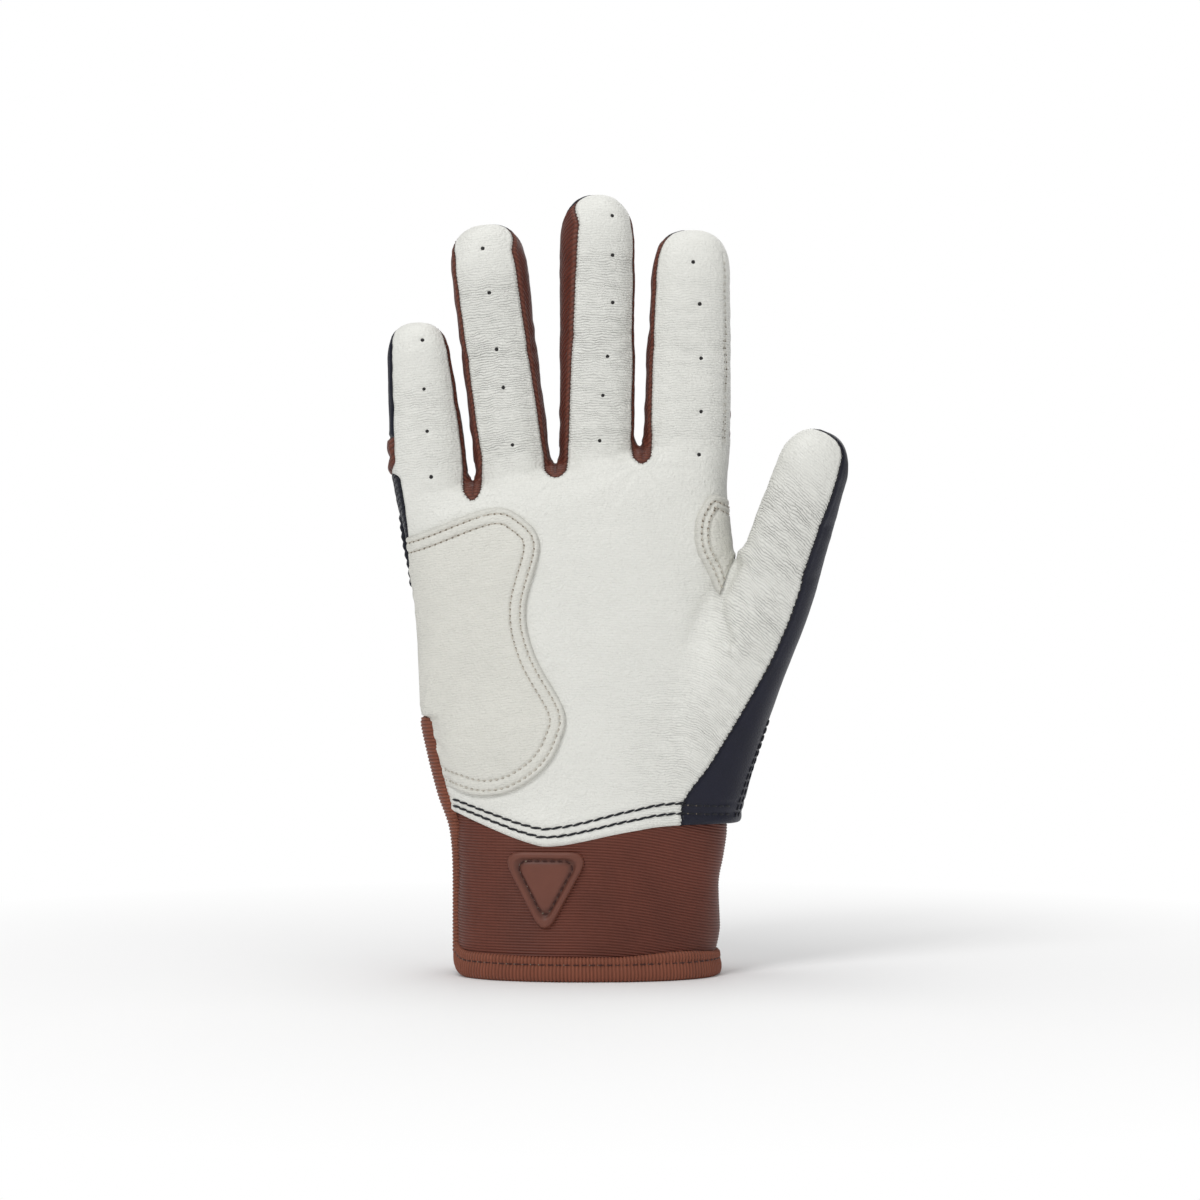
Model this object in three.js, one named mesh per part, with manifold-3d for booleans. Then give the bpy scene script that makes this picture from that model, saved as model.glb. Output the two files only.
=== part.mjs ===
// A right-hand batting glove, filled out as if worn, standing on the hem of its cuff.
// Millimetres. +Z runs up to the fingertips, the palm faces -Y and the thumb points to +X.
// The origin is on the ground under the middle of the cuff.
// Each finger is a tapering tube with a domed tip, cut into its sewn panels: a leather palm face,
// stretch fourchettes along its sides and a leather back. The hand is a loft joined to the finger
// roots, hollowed, and cut into its panels by outlines seen from the palm side.
import * as THREE from "three";
import { mergeVertices } from "three/addons/utils/BufferGeometryUtils.js";
import Module from "manifold-3d";

const wasm = await Module();
wasm.setup();

// Materials' thickness and the clearances between pieces
const LEATHER = 1.2;
const STRETCH_FABRIC = 1.0;
const CUFF_WALL = 2.0;
const PAD_THICKNESS = 1.2;
const BINDING_PROUD = 0.7;
const SEAM_GAP = 0.3;
const FLEX_GAP = 0.5;
const SLIT_GAP = 1.0;

// The hand: widths across X, depths across Y, heights along Z
const CUFF_WIDTH = 73;
const CUFF_DEPTH = 46;
const CUFF_HEIGHT = 40;
const HEM_HEIGHT = 7;
const PALM_LENGTH = 104.2;
const PALM_DEPTH = 35;
const KNUCKLE_DEPTH = 25;
const WEB_DEPTH = 12;
const PINKY_EDGE_OVERHANG = 1.1;
const INDEX_EDGE_OVERHANG = 0.4;
const ROOT_LENGTH = 26;
const SPLIT_Y = 2;
const WEB_TILT = 0.2;
const BLOCK_CLEARANCE = 0.45;
const FAR_CLEARANCE = 8;
const FORM_FOOT = 4;
const FAR = 320;

// Heights are given above the wrist, at the cuff's top, or from the knuckles, at the webs' top.
const KNUCKLE_Z = CUFF_HEIGHT + PALM_LENGTH;
const fromWrist = (points) => points.map(([x, z]) => [x, CUFF_HEIGHT + z]);
const fromKnuckles = (points) => points.map(([x, z]) => [x, KNUCKLE_Z + z]);

// Seams and edges of the hand seen from the palm side, as [x, z]
const WRIST_EDGE = fromWrist([
  [-60, 13], [-36, 5], [-17, -2], [-7.8, -3], [11.5, 0.8], [26, 2.4], [60, 1.6],
]);
const BACK_EDGE = fromWrist([[-FAR, 2.6], [FAR, 2.6]]);
const THUMB_SEAM = fromWrist([
  [25.8, -3], [25.8, 6], [34, 19.4], [46.2, 39.6], [53.2, 53], [60.4, 70.5], [66, 85],
]);
const THUMB_BACK_SEAM = fromWrist([[30, -3], [34, 19], [44, 43], [50, 57], [56, 85]]);
const BINDING_TOP = 31;
const BINDING_LINE = [
  ...fromWrist([[-43.2, BINDING_TOP], [-41, 19], [-38.4, 9.4], [-36.2, 2], [-34.6, -5]]),
  [-34.6, HEM_HEIGHT + SEAM_GAP],
];
const PINKY_SEAM = fromKnuckles([
  [-52, 2.8], [-52, -7.2], [-50.9, -14.2], [-49.9, -24.2], [-49, -29.2], [-49, -35.7],
]);
const PINKY_BACK_SEAM = fromKnuckles([[-46, 2.8], [-46, -7.2], [-44, -35.7]]);
const HEEL_PAD = fromWrist([
  [-60, 83], [-49.3, 81.9], [-27.2, 89.4], [-18, 86.9], [-13, 79], [-16.8, 62], [-14.3, 49],
  [-6.3, 34], [-7.3, 25.3], [-12, 17.5], [-20.7, 11.6], [-29.4, 10.2], [-37.7, 12.2], [-60, 19],
]);
const CROTCH_PATCH = fromWrist([
  [46, 89], [35.4, 93.4], [31.4, 89.7], [29.8, 84.7], [30.2, 78.3], [33, 72.4], [37, 65.4], [44, 66],
]);
const HEEL_WRAP_Y = -8;
const PATCH_WRAP_Y = 1.6;
const WEBS = [
  {
    name: "pinky_ring_web",
    line: fromKnuckles([[-34.7, 2.8], [-34.4, -7.2], [-31.7, -12.2], [-29.6, -7.2], [-29.4, 2.8]]),
  },
  {
    name: "ring_middle_web",
    line: fromKnuckles([[-12.2, 5.8], [-12, -2.2], [-8.8, -5.8], [-5.6, -2.2], [-5.5, 5.8]]),
  },
  {
    name: "middle_index_web",
    line: fromKnuckles([[12.4, 8.8], [12.6, 1.3], [15.2, -1.9], [17.6, 1.3], [17.8, 8.8]]),
  },
];

// Fittings of the cuff
const BADGE = {
  corners: fromWrist([[-23.6, -4.6], [-11.6, -28.4], [1.2, -4.6]]),
  cornerLength: 6.5,
  thickness: 1.4,
};
const STRAP_ABOVE_HEM = 2;
const STRAP_BOTTOM = HEM_HEIGHT + STRAP_ABOVE_HEM;
const STRAP_WIDTH = 26;
const STRAP_REACH = 19;
const STRAP_THICKNESS = 1.4;
const STRAP_ROOT_Y = 12;
const STRAP_ANCHOR = 5;
const PATCH_THICKNESS = 0.6;
const PATCH_REACH = [-4, 18];
const PATCH_INSET = 1.5;
const TAB_LENGTH = 7;
const TAB_TAPER = 0.25;
const TAB_PROUD = 0.4;

// The fingers, from the pinky side to the thumb. Seam angles are measured round the finger from
// the middle of its palm face: [at the base, at the tip].
const PINKY_LENGTH = 42.3;
const RING_LENGTH = 65.2;
const MIDDLE_LENGTH = 69.9;
const INDEX_LENGTH = 59.4;
const THUMB_LENGTH = 40.8;
const MIDDLE_X = 2.7;
const FINGER_PITCH = 3;
const FOURCHETTE_SPAN = 62;
const FOURCHETTE_END = 4;
const KNUCKLE_RIB_BAND = 11;
const KNUCKLE_RIB_PROUD = 0.8;
const FINGERS = [
  {
    name: "pinky", length: PINKY_LENGTH, lean: -5.4, baseHeight: KNUCKLE_Z - 4.8, gapToNext: 1.4,
    halfWidth: [10.7, 8.4], halfDepth: [8.6, 7.2], tipLength: 11,
    leftSeam: [63, 61], rightSeam: [61, 68], foldShare: 0.46,
  },
  {
    name: "ring", length: RING_LENGTH, lean: -6.8, baseHeight: KNUCKLE_Z - 0.2, gapToNext: 2.2,
    halfWidth: [10.8, 10.9], halfDepth: [9.4, 8.0], tipLength: 15,
    leftSeam: [49, 62], rightSeam: [52, 44], foldShare: 0.44,
  },
  {
    name: "middle", length: MIDDLE_LENGTH, lean: 0, baseHeight: KNUCKLE_Z + 3, gapToNext: 1.8,
    halfWidth: [10.8, 10.2], halfDepth: [9.6, 8.2], tipLength: 15,
    leftSeam: [48, 34], rightSeam: [61, 80], foldShare: 0.44,
  },
  {
    name: "index", length: INDEX_LENGTH, lean: 1.6, baseHeight: KNUCKLE_Z + 3.8, gapToNext: 0,
    halfWidth: [12.2, 10.7], halfDepth: [9.6, 8.2], tipLength: 13,
    leftSeam: [52, 62], rightSeam: [104, 100], foldShare: 0.45,
  },
];
const THUMB = {
  name: "thumb", length: THUMB_LENGTH, lean: 17, pitch: 16, base: [53.3, -9, CUFF_HEIGHT + 72.6],
  halfWidth: [11.4, 9.5], halfDepth: [11, 8.8], tipLength: 13,
  leftSeam: [112, 108], rightSeam: [32, 44], foldShare: 0.42,
  roots: [
    { centre: [26, 0, CUFF_HEIGHT + 3], halfWidth: 15, halfDepth: 15 },
    { centre: [39.9, -4.5, CUFF_HEIGHT + 41], halfWidth: 13.5, halfDepth: 14 },
  ],
};

// Resolution of the curved surfaces
const SECTION_POWER = 2.3;
const DOME_POWER = 2.5;
const SIDES = 20;
const FOURCHETTE_REACH = 0.7;
const DOME_SHARES = [0, 0.38, FOURCHETTE_REACH, 0.92, 1];
const HAND_SIDES = 40;

const degrees = THREE.MathUtils.degToRad;
const mix = THREE.MathUtils.lerp;

// Each finish makes a material of its own for every piece that has it.
const finish = (color, roughness) => () =>
  new THREE.MeshStandardMaterial({ color, roughness, metalness: 0 });
const WHITE_LEATHER = finish(0xd8d9d4, 0.55);
const NAVY_LEATHER = finish(0x1d1e26, 0.5);
const BROWN_STRETCH = finish(0x66382c, 0.7);
const BROWN_CUFF = finish(0x623b32, 0.75);
const BROWN_BINDING = finish(0x70473a, 0.8);
const NAVY_KNIT = finish(0x15161c, 0.85);
const BROWN_RUBBER = finish(0x6b4234, 0.6);
const HOOK_AND_LOOP = finish(0x241d1c, 0.95);

const glove = new THREE.Group();

// Solids

function geometryOf(vertices, triangles) {
  const loose = new THREE.BufferGeometry();
  const places = vertices.flatMap((v) => v.toArray());
  loose.setAttribute("position", new THREE.Float32BufferAttribute(places, 3));
  loose.setIndex(triangles.flat());
  const merged = mergeVertices(loose, 1e-4);
  const index = merged.index.array;
  const kept = [];
  for (let i = 0; i < index.length; i += 3) {
    const [a, b, c] = [index[i], index[i + 1], index[i + 2]];
    if (a !== b && b !== c && c !== a) kept.push(a, b, c);
  }
  merged.setIndex(kept);
  return merged;
}

function solidOf(geometry) {
  const bare = geometry.clone();
  bare.deleteAttribute("normal");
  bare.deleteAttribute("uv");
  const merged = mergeVertices(bare, 1e-4);
  return new wasm.Manifold(
    new wasm.Mesh({
      numProp: 3,
      vertProperties: new Float32Array(merged.attributes.position.array),
      triVerts: new Uint32Array(merged.index.array),
    }),
  );
}

// The largest body of a solid as a geometry: cuts through curved walls can shed slivers.
function geometryFrom(solid) {
  const largest = solid.decompose().reduce((a, b) => (a.volume() > b.volume() ? a : b));
  const mesh = largest.getMesh();
  const geometry = new THREE.BufferGeometry();
  const places = new Float32Array(mesh.vertProperties);
  geometry.setAttribute("position", new THREE.BufferAttribute(places, 3));
  geometry.setIndex(new THREE.BufferAttribute(new Uint32Array(mesh.triVerts), 1));
  return geometry;
}

function addPiece(parent, name, geometry, madeOf) {
  const mesh = new THREE.Mesh(geometry, madeOf());
  mesh.name = name;
  parent.add(mesh);
}

// A closed solid through rings of points that run anticlockwise seen from above.
function loft(rings) {
  const count = rings[0].length;
  const vertices = rings.flat();
  const triangles = [];
  for (let r = 0; r + 1 < rings.length; r++) {
    for (let j = 0; j < count; j++) {
      const a = r * count + j;
      const b = r * count + ((j + 1) % count);
      triangles.push([a, b, b + count], [a, b + count, a + count]);
    }
  }
  const sumOf = (ring) => ring.reduce((sum, p) => sum.add(p), new THREE.Vector3());
  const middleOf = (ring) => sumOf(ring).divideScalar(count);
  const bottom = vertices.push(middleOf(rings[0])) - 1;
  const top = vertices.push(middleOf(rings.at(-1))) - 1;
  const last = (rings.length - 1) * count;
  for (let j = 0; j < count; j++) {
    const next = (j + 1) % count;
    triangles.push([bottom, next, j], [top, last + j, last + next]);
  }
  return geometryOf(vertices, triangles);
}

// A panel of a curved wall: point(u, v, inner) gives its outer and inner faces for u and v from 0 to 1.
function panel(point, stepsU, stepsV) {
  const rows = stepsV.length;
  const columns = stepsU + 1;
  const vertices = [];
  for (const inner of [false, true]) {
    for (const v of stepsV) {
      for (let i = 0; i < columns; i++) vertices.push(point(i / stepsU, v, inner));
    }
  }
  const at = (i, j, inner) => (inner ? rows * columns : 0) + j * columns + i;
  const triangles = [];
  const quad = (a, b, c, d) => triangles.push([a, b, c], [a, c, d]);
  for (let j = 0; j + 1 < rows; j++) {
    for (let i = 0; i < stepsU; i++) {
      quad(at(i, j, false), at(i + 1, j, false), at(i + 1, j + 1, false), at(i, j + 1, false));
      quad(at(i, j, true), at(i, j + 1, true), at(i + 1, j + 1, true), at(i + 1, j, true));
    }
    quad(at(0, j, false), at(0, j + 1, false), at(0, j + 1, true), at(0, j, true));
    quad(at(stepsU, j, false), at(stepsU, j, true), at(stepsU, j + 1, true), at(stepsU, j + 1, false));
  }
  const top = rows - 1;
  for (let i = 0; i < stepsU; i++) {
    quad(at(i, 0, false), at(i, 0, true), at(i + 1, 0, true), at(i + 1, 0, false));
    quad(at(i, top, false), at(i + 1, top, false), at(i + 1, top, true), at(i, top, true));
  }
  return geometryOf(vertices, triangles);
}

// A rounded cross-section: angle 0 faces the palm side, 90 degrees faces +X.
function sectionPoint(angle, halfWidth, front, back) {
  const across = Math.sign(Math.sin(angle)) * Math.abs(Math.sin(angle)) ** (2 / SECTION_POWER);
  const deep = Math.sign(Math.cos(angle)) * Math.abs(Math.cos(angle)) ** (2 / SECTION_POWER);
  return new THREE.Vector2(across * halfWidth, -deep * (deep > 0 ? front : back));
}

// A straight-sided outline in the XZ plane, extruded through the glove from y = from to y = to.
function prism(points, from, to) {
  const shape = new THREE.Shape(points.map(([x, z]) => new THREE.Vector2(x, z)));
  const options = { depth: to - from, bevelEnabled: false, curveSegments: 8 };
  const geometry = new THREE.ExtrudeGeometry(shape, options);
  geometry.rotateX(Math.PI / 2);
  geometry.translate(0, to, 0);
  return solidOf(geometry);
}

// Fingers

// How a finger's radius shrinks in its domed tip, at a height along it.
function domeShare(finger, height, offset) {
  const start = finger.length - finger.tipLength;
  const along = Math.min(Math.max((height - start) / (finger.tipLength + offset), 0), 1);
  return (1 - along ** DOME_POWER) ** (1 / DOME_POWER);
}

// A point of the finger's surface, grown by offset, in the finger's own frame.
function fingerPoint(finger, angle, height, offset) {
  const along = Math.min(Math.max(height / finger.length, 0), 1);
  const share = domeShare(finger, height, offset);
  const halfWidth = (mix(...finger.halfWidth, along) + offset) * share;
  const halfDepth = (mix(...finger.halfDepth, along) + offset) * share;
  const flat = sectionPoint(angle, halfWidth, halfDepth, halfDepth);
  return new THREE.Vector3(flat.x, flat.y, height);
}

// Heights of the dome's rings above a start height, closer together towards the pole.
function domeHeights(finger, start, offset) {
  return DOME_SHARES.map((share) => mix(start, finger.length + offset, share));
}

function fingerFrame(finger) {
  const group = new THREE.Group();
  group.position.set(...finger.base);
  group.rotation.set(degrees(finger.pitch), degrees(finger.lean), 0, "YXZ");
  group.updateMatrix();
  return group;
}

// The whole finger with its root, as a closed form in the glove's frame.
function fingerForm(finger, offset) {
  const frame = fingerFrame(finger).matrix;
  const shoulder = finger.length - finger.tipLength;
  const angles = Array.from({ length: SIDES }, (_, j) => (j / SIDES) * 2 * Math.PI);
  const roots = finger.roots.map(({ centre, halfWidth, halfDepth }) => {
    const place = new THREE.Vector3(...centre).applyMatrix4(frame.clone().invert());
    return angles.map((a) => {
      const flat = sectionPoint(a, halfWidth + offset, halfDepth + offset, halfDepth + offset);
      return new THREE.Vector3(place.x + flat.x, place.y + flat.y, place.z);
    });
  });
  const heights = [0, shoulder, ...domeHeights(finger, shoulder, offset).slice(1)];
  const rings = heights.map((h) => angles.map((a) => fingerPoint(finger, a, h, offset)));
  return solidOf(loft([...roots, ...rings]).applyMatrix4(frame));
}

// The angles of the front and back seams on one side of a finger, closing to a single seam at the tip.
function seamAngles(finger, side, height) {
  const along = Math.min(height / finger.length, 1);
  const base = side < 0 ? finger.leftSeam : finger.rightSeam;
  const front = mix(...base, along);
  const span = finger.fourchettes.includes(side) ? FOURCHETTE_SPAN : 0;
  const shoulder = finger.length - finger.tipLength;
  const close = THREE.MathUtils.smoothstep(height, shoulder, finger.length - finger.tipLength * 0.2);
  const meet = 90 + side * finger.tipYaw;
  const domed = Math.max(height - shoulder, 0) / finger.tipLength;
  const narrowing = 1 - THREE.MathUtils.smoothstep(domed, FOURCHETTE_REACH, 0.9);
  const end = span ? FOURCHETTE_END * narrowing : 0;
  return [mix(front, meet - end, close), mix(front + span, meet + end, close)];
}

// One panel of a finger between two heights. faces: "front", "back", -1 (left side) or 1 (right side).
function fingerPanel(finger, face, from, to, wall, rib) {
  const clearance = SEAM_GAP / 2;
  const [, tipWidth] = finger.halfWidth;
  const [, tipDepth] = finger.halfDepth;
  const tipSeam = sectionPoint(degrees(90 + finger.tipYaw), tipWidth, tipDepth, tipDepth);
  const outwards = new THREE.Vector3(tipSeam.y, -tipSeam.x, 0).normalize();
  const bounds = (height) => {
    const [left, leftBack] = seamAngles(finger, -1, height);
    const [right, rightBack] = seamAngles(finger, 1, height);
    if (face === "front") return [-left, right];
    if (face === "back") return [rightBack, 360 - leftBack];
    return face < 0 ? [-leftBack, -left] : [right, rightBack];
  };
  const point = (u, v, inner) => {
    const offset = inner ? -wall : rib ? rib(v) : 0;
    const level = mix(from, to, v);
    const domed = Math.max(level - finger.length + finger.tipLength, 0) / finger.tipLength;
    const height = level + offset * domed;
    const [start, end] = bounds(level);
    const radius = Math.max(fingerPoint(finger, Math.PI / 2, height, 0).x, 1);
    const margin = THREE.MathUtils.radToDeg(clearance / radius);
    const p = fingerPoint(finger, degrees(mix(start + margin, end - margin, u)), height, offset);
    if (face === "front" || face === "back") {
      const sign = face === "front" ? 1 : -1;
      const reach = sign * p.dot(outwards);
      const nearPole = height > finger.length - finger.tipLength;
      if (nearPole && reach < clearance) p.addScaledVector(outwards, sign * (clearance - reach));
    }
    return p;
  };
  const stepsU = face === "front" || face === "back" ? 8 : 3;
  return panel(point, stepsU, panelRows(finger, from, to));
}

// Where a panel's rows of points lie, from 0 to 1: few on the straight part, more round the dome.
function panelRows(finger, from, to) {
  const shoulder = finger.length - finger.tipLength;
  const rowLength = 9;
  const straightEnd = Math.min(to, shoulder);
  const straight = Math.max(Math.ceil((straightEnd - from) / rowLength), 1);
  const heights = Array.from({ length: straight + 1 }, (_, i) => mix(from, straightEnd, i / straight));
  if (to > shoulder) {
    const dome = domeHeights(finger, shoulder, 0).slice(1);
    heights.push(...dome.filter((h) => h <= to + 1e-6));
  }
  if (heights.at(-1) < to - 1e-6) heights.push(to);
  return heights.map((h) => (h - from) / (to - from));
}

// A finger's two segments, hinged at its base and at its middle fold, each of separate panels.
function addFinger(finger) {
  const frame = fingerFrame(finger);
  const fold = finger.length * finger.foldShare;
  const halfFlex = FLEX_GAP / 2;
  const fourchetteEnd = finger.length - finger.tipLength * (1 - FOURCHETTE_REACH);
  const ribs = finger.knuckleRibs ? KNUCKLE_RIB_BAND : 0;
  const segments = [
    { name: "base", from: halfFlex, to: fold - halfFlex },
    { name: "tip", from: fold + halfFlex, to: finger.length },
  ];
  for (const { name, from, to } of segments) {
    const label = `${finger.name}_${name}`;
    const palmFace = fingerPanel(finger, "front", from, to, LEATHER);
    addPiece(frame, `${label}_palm_face`, palmFace, WHITE_LEATHER);
    for (const side of finger.fourchettes) {
      const word = side < 0 ? "left" : "right";
      const end = Math.min(to, fourchetteEnd);
      const strip = fingerPanel(finger, side, from, end, STRETCH_FABRIC);
      addPiece(frame, `${label}_${word}_fourchette`, strip, BROWN_STRETCH);
    }
    const backFrom = name === "base" && ribs ? from + ribs + SEAM_GAP : from;
    const backFace = fingerPanel(finger, "back", backFrom, to, LEATHER);
    addPiece(frame, `${label}_back`, backFace, NAVY_LEATHER);
  }
  if (ribs) {
    const wave = (v) => KNUCKLE_RIB_PROUD * Math.abs(Math.sin(2 * Math.PI * v));
    const rows = fingerRibs(finger, halfFlex, halfFlex + ribs, wave);
    addPiece(frame, `${finger.name}_knuckle_ribs`, rows, BROWN_STRETCH);
  }
  glove.add(frame);
}

// The two stretch ribs across the back of a finger's base.
function fingerRibs(finger, from, to, wave) {
  const ribSteps = 8;
  const rows = Array.from({ length: ribSteps + 1 }, (_, i) => i / ribSteps);
  const margin = THREE.MathUtils.radToDeg(SEAM_GAP / 2 / finger.halfWidth[0]);
  const point = (u, v, inner) => {
    const height = mix(from, to, v);
    const start = seamAngles(finger, 1, height)[1] + margin;
    const end = 360 - seamAngles(finger, -1, height)[1] - margin;
    return fingerPoint(finger, degrees(mix(start, end, u)), height, inner ? -STRETCH_FABRIC : wave(v));
  };
  return panel(point, 8, rows);
}

// Each finger's place follows from its neighbour's width and the gap between them.
function placeFingers() {
  const middle = FINGERS.findIndex((f) => f.name === "middle");
  const baseWidth = (i) => FINGERS[i].halfWidth[0];
  const centres = [];
  centres[middle] = MIDDLE_X;
  for (let i = middle - 1; i >= 0; i--) {
    centres[i] = centres[i + 1] - baseWidth(i + 1) - FINGERS[i].gapToNext - baseWidth(i);
  }
  for (let i = middle + 1; i < FINGERS.length; i++) {
    centres[i] = centres[i - 1] + baseWidth(i - 1) + FINGERS[i - 1].gapToNext + baseWidth(i);
  }
  FINGERS.forEach((finger, i) => {
    finger.base = [centres[i], 0, finger.baseHeight];
    finger.pitch = FINGER_PITCH;
    const root = new THREE.Vector3(0, 0, -ROOT_LENGTH).applyMatrix4(fingerFrame(finger).matrix);
    const [halfWidth] = finger.halfWidth;
    const [halfDepth] = finger.halfDepth;
    finger.roots = [{ centre: root.toArray(), halfWidth, halfDepth }];
    finger.fourchettes = [...(i > 0 ? [-1] : []), ...(i + 1 < FINGERS.length ? [1] : [])];
    finger.knuckleRibs = true;
    finger.tipYaw = (finger.rightSeam[1] - finger.leftSeam[1]) / 2;
  });
  THUMB.fourchettes = [];
  THUMB.tipYaw = (THUMB.rightSeam[1] - THUMB.leftSeam[1]) / 2;
}

placeFingers();
const [PINKY, , , INDEX] = FINGERS;
const ALL_FINGERS = [...FINGERS, THUMB];
ALL_FINGERS.forEach(addFinger);

// The hand

const pinkyEdge = PINKY.base[0] - PINKY.halfWidth[0] + PINKY_EDGE_OVERHANG;
const indexEdge = INDEX.base[0] + INDEX.halfWidth[0] - INDEX_EDGE_OVERHANG;

// Stations up the hand: how far each side has moved from the cuff's edge to the knuckles' edge, how
// much wider each side stands than that, the depths in front of and behind the middle, and the tilt.
const palmAt = (share) => CUFF_HEIGHT + PALM_LENGTH * share;
const station = (z, side, [left, right], [front, back], tilt = 0) => ({
  z, side, left, right, front, back, tilt,
});
const halfCuff = CUFF_DEPTH / 2;
const halfKnuckle = KNUCKLE_DEPTH / 2;
const STATIONS = [
  station(0, 0, [0, 0], [halfCuff, halfCuff]),
  station(CUFF_HEIGHT * 0.6, 0, [0, -0.6], [halfCuff, halfCuff]),
  station(CUFF_HEIGHT, 0.03, [0.4, 2.8], [halfCuff, halfCuff - 1]),
  station(palmAt(0.1), 0.27, [-0.2, 4], [PALM_DEPTH * 0.6, PALM_DEPTH * 0.56]),
  station(palmAt(0.28), 0.5, [0.2, 4.2], [PALM_DEPTH * 0.55, PALM_DEPTH * 0.5]),
  station(palmAt(0.55), 0.7, [-1.2, 3], [PALM_DEPTH * 0.5, PALM_DEPTH * 0.46]),
  station(palmAt(0.8), 0.9, [-1.4, 0.6], [PALM_DEPTH * 0.44, PALM_DEPTH * 0.42], WEB_TILT * 0.3),
  station(palmAt(0.93), 0.98, [-1.6, -0.6], [halfKnuckle, halfKnuckle], WEB_TILT * 0.8),
  station(palmAt(0.985), 0.99, [-1, -0.8], [WEB_DEPTH * 0.7, WEB_DEPTH * 0.7], WEB_TILT),
  station(palmAt(1), 0.98, [-3, -3], [WEB_DEPTH * 0.3, WEB_DEPTH * 0.3], WEB_TILT),
];

// The hand's closed form grown by offset. Hollows are cut with it, so those run on below the ground.
function handForm(offset) {
  const rings = STATIONS.map((at, i) => {
    const { z, front, back, tilt } = at;
    const left = mix(-CUFF_WIDTH / 2, pinkyEdge, at.side) - at.left - offset;
    const right = mix(CUFF_WIDTH / 2, indexEdge, at.side) + at.right + offset;
    const lift = i === 0 ? -FORM_FOOT : i + 1 === STATIONS.length ? offset : 0;
    return Array.from({ length: HAND_SIDES }, (_, j) => {
      const angle = (j / HAND_SIDES) * 2 * Math.PI;
      const flat = sectionPoint(angle, (right - left) / 2, front + offset, back + offset);
      const x = flat.x + (left + right) / 2;
      return new THREE.Vector3(x, flat.y, z + lift + tilt * (x - MIDDLE_X));
    });
  });
  return solidOf(loft(rings));
}

const handWithRoots = (offset) =>
  ALL_FINGERS.reduce((form, finger) => form.add(fingerForm(finger, offset)), handForm(offset));

// A wall of the bare hand form, between two offsets from its surface.
const layer = (inner, outer) => handForm(outer).subtract(handForm(inner));

// The block that holds a finger above its base fold.
function fingerBlock(finger, clearance) {
  const width = 2 * (finger.halfWidth[0] + clearance);
  const depth = 2 * (finger.halfDepth[0] + FAR_CLEARANCE);
  const height = finger.length + FAR_CLEARANCE;
  const box = new THREE.BoxGeometry(width, depth, height).translate(0, 0, height / 2 - FLEX_GAP / 2);
  box.applyMatrix4(fingerFrame(finger).matrix);
  return solidOf(box);
}

// A smooth line through a few points, as [x, z] pairs.
function smoothLine(points, steps) {
  const curve = new THREE.SplineCurve(points.map(([x, z]) => new THREE.Vector2(x, z)));
  return curve.getPoints(steps).map((p) => [p.x, p.y]);
}

const shifted = (points, dx, dz) => points.map(([x, z]) => [x + dx, z + dz]);

// Outlines seen from the palm side
const wristEdge = smoothLine(WRIST_EDGE, 14);
const [farLeft, farRight] = [-FAR, FAR];
const aboveLine = (line) => [...line, [farRight, FAR], [farLeft, FAR]];
const belowLine = (line) => [...line, [farRight, -FAR], [farLeft, -FAR]].reverse();
const leftOf = (line) => [[farLeft, line[0][1]], ...line, [farLeft, line.at(-1)[1]]];
const rightOf = (line) => [[farRight, line.at(-1)[1]], [farRight, line[0][1]], ...line];

const front = (outline) => prism(outline, -FAR, SPLIT_Y);
const back = (outline, clearance = SEAM_GAP) => prism(outline, SPLIT_Y + clearance, FAR);
const through = (outline) => prism(outline, -FAR, FAR);

const fingerBlocks = ALL_FINGERS.map((finger) => fingerBlock(finger, BLOCK_CLEARANCE));
const hollowHand = handWithRoots(0).subtract(handWithRoots(-LEATHER));
const handShell = fingerBlocks.reduce((shell, block) => shell.subtract(block), hollowHand);
const cuffShell = layer(-CUFF_WALL, 0);

const webFor = (line, clearance) => {
  const grown = line.map(([x, z], i) => {
    const outwards = i < line.length / 2 - 0.5 ? -1 : i > line.length / 2 - 0.5 ? 1 : 0;
    return [x + outwards * clearance, z - (outwards ? clearance / 2 : clearance)];
  });
  return through(grown);
};
const webs = WEBS.map(({ name, line }) => ({
  name,
  solid: webFor(line, 0),
  cut: webFor(line, SEAM_GAP),
}));

const bindingZone = front(leftOf(BINDING_LINE));
const [bindingEnd, ...bindingRest] = BINDING_LINE;
const bindingCut = front(
  leftOf([...shifted([bindingEnd], SEAM_GAP, SEAM_GAP), ...shifted(bindingRest, SEAM_GAP, 0)]),
);
const pinkyZone = front(leftOf(PINKY_SEAM)).add(back(leftOf(PINKY_BACK_SEAM), -SEAM_GAP));
const pinkyCut = front(leftOf(shifted(PINKY_SEAM, SEAM_GAP, 0)))
  .add(back(leftOf(shifted(PINKY_BACK_SEAM, SEAM_GAP, 0)), -SEAM_GAP))
  .add(front(leftOf(shifted(PINKY_SEAM, SEAM_GAP, -SEAM_GAP))));
const thumbZone = prism(rightOf(shifted(THUMB_SEAM, SEAM_GAP, 0)), -FAR, SPLIT_Y + 2 * SEAM_GAP).add(
  back(rightOf(shifted(THUMB_BACK_SEAM, SEAM_GAP, 0))),
);

const cutAll = (solid, tools) => tools.reduce((rest, tool) => rest.subtract(tool), solid);
const webCuts = webs.map((web) => web.cut);

const aboveWrist = through(aboveLine(shifted(wristEdge, 0, SEAM_GAP)));
const upperHand = handShell.intersect(aboveWrist);
const upperFront = upperHand.intersect(front(aboveLine(wristEdge)));
const palm = cutAll(upperFront, [bindingCut, pinkyCut, ...webCuts]).subtract(front(rightOf(THUMB_SEAM)));
addPiece(glove, "palm_leather", geometryFrom(palm), WHITE_LEATHER);

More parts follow.
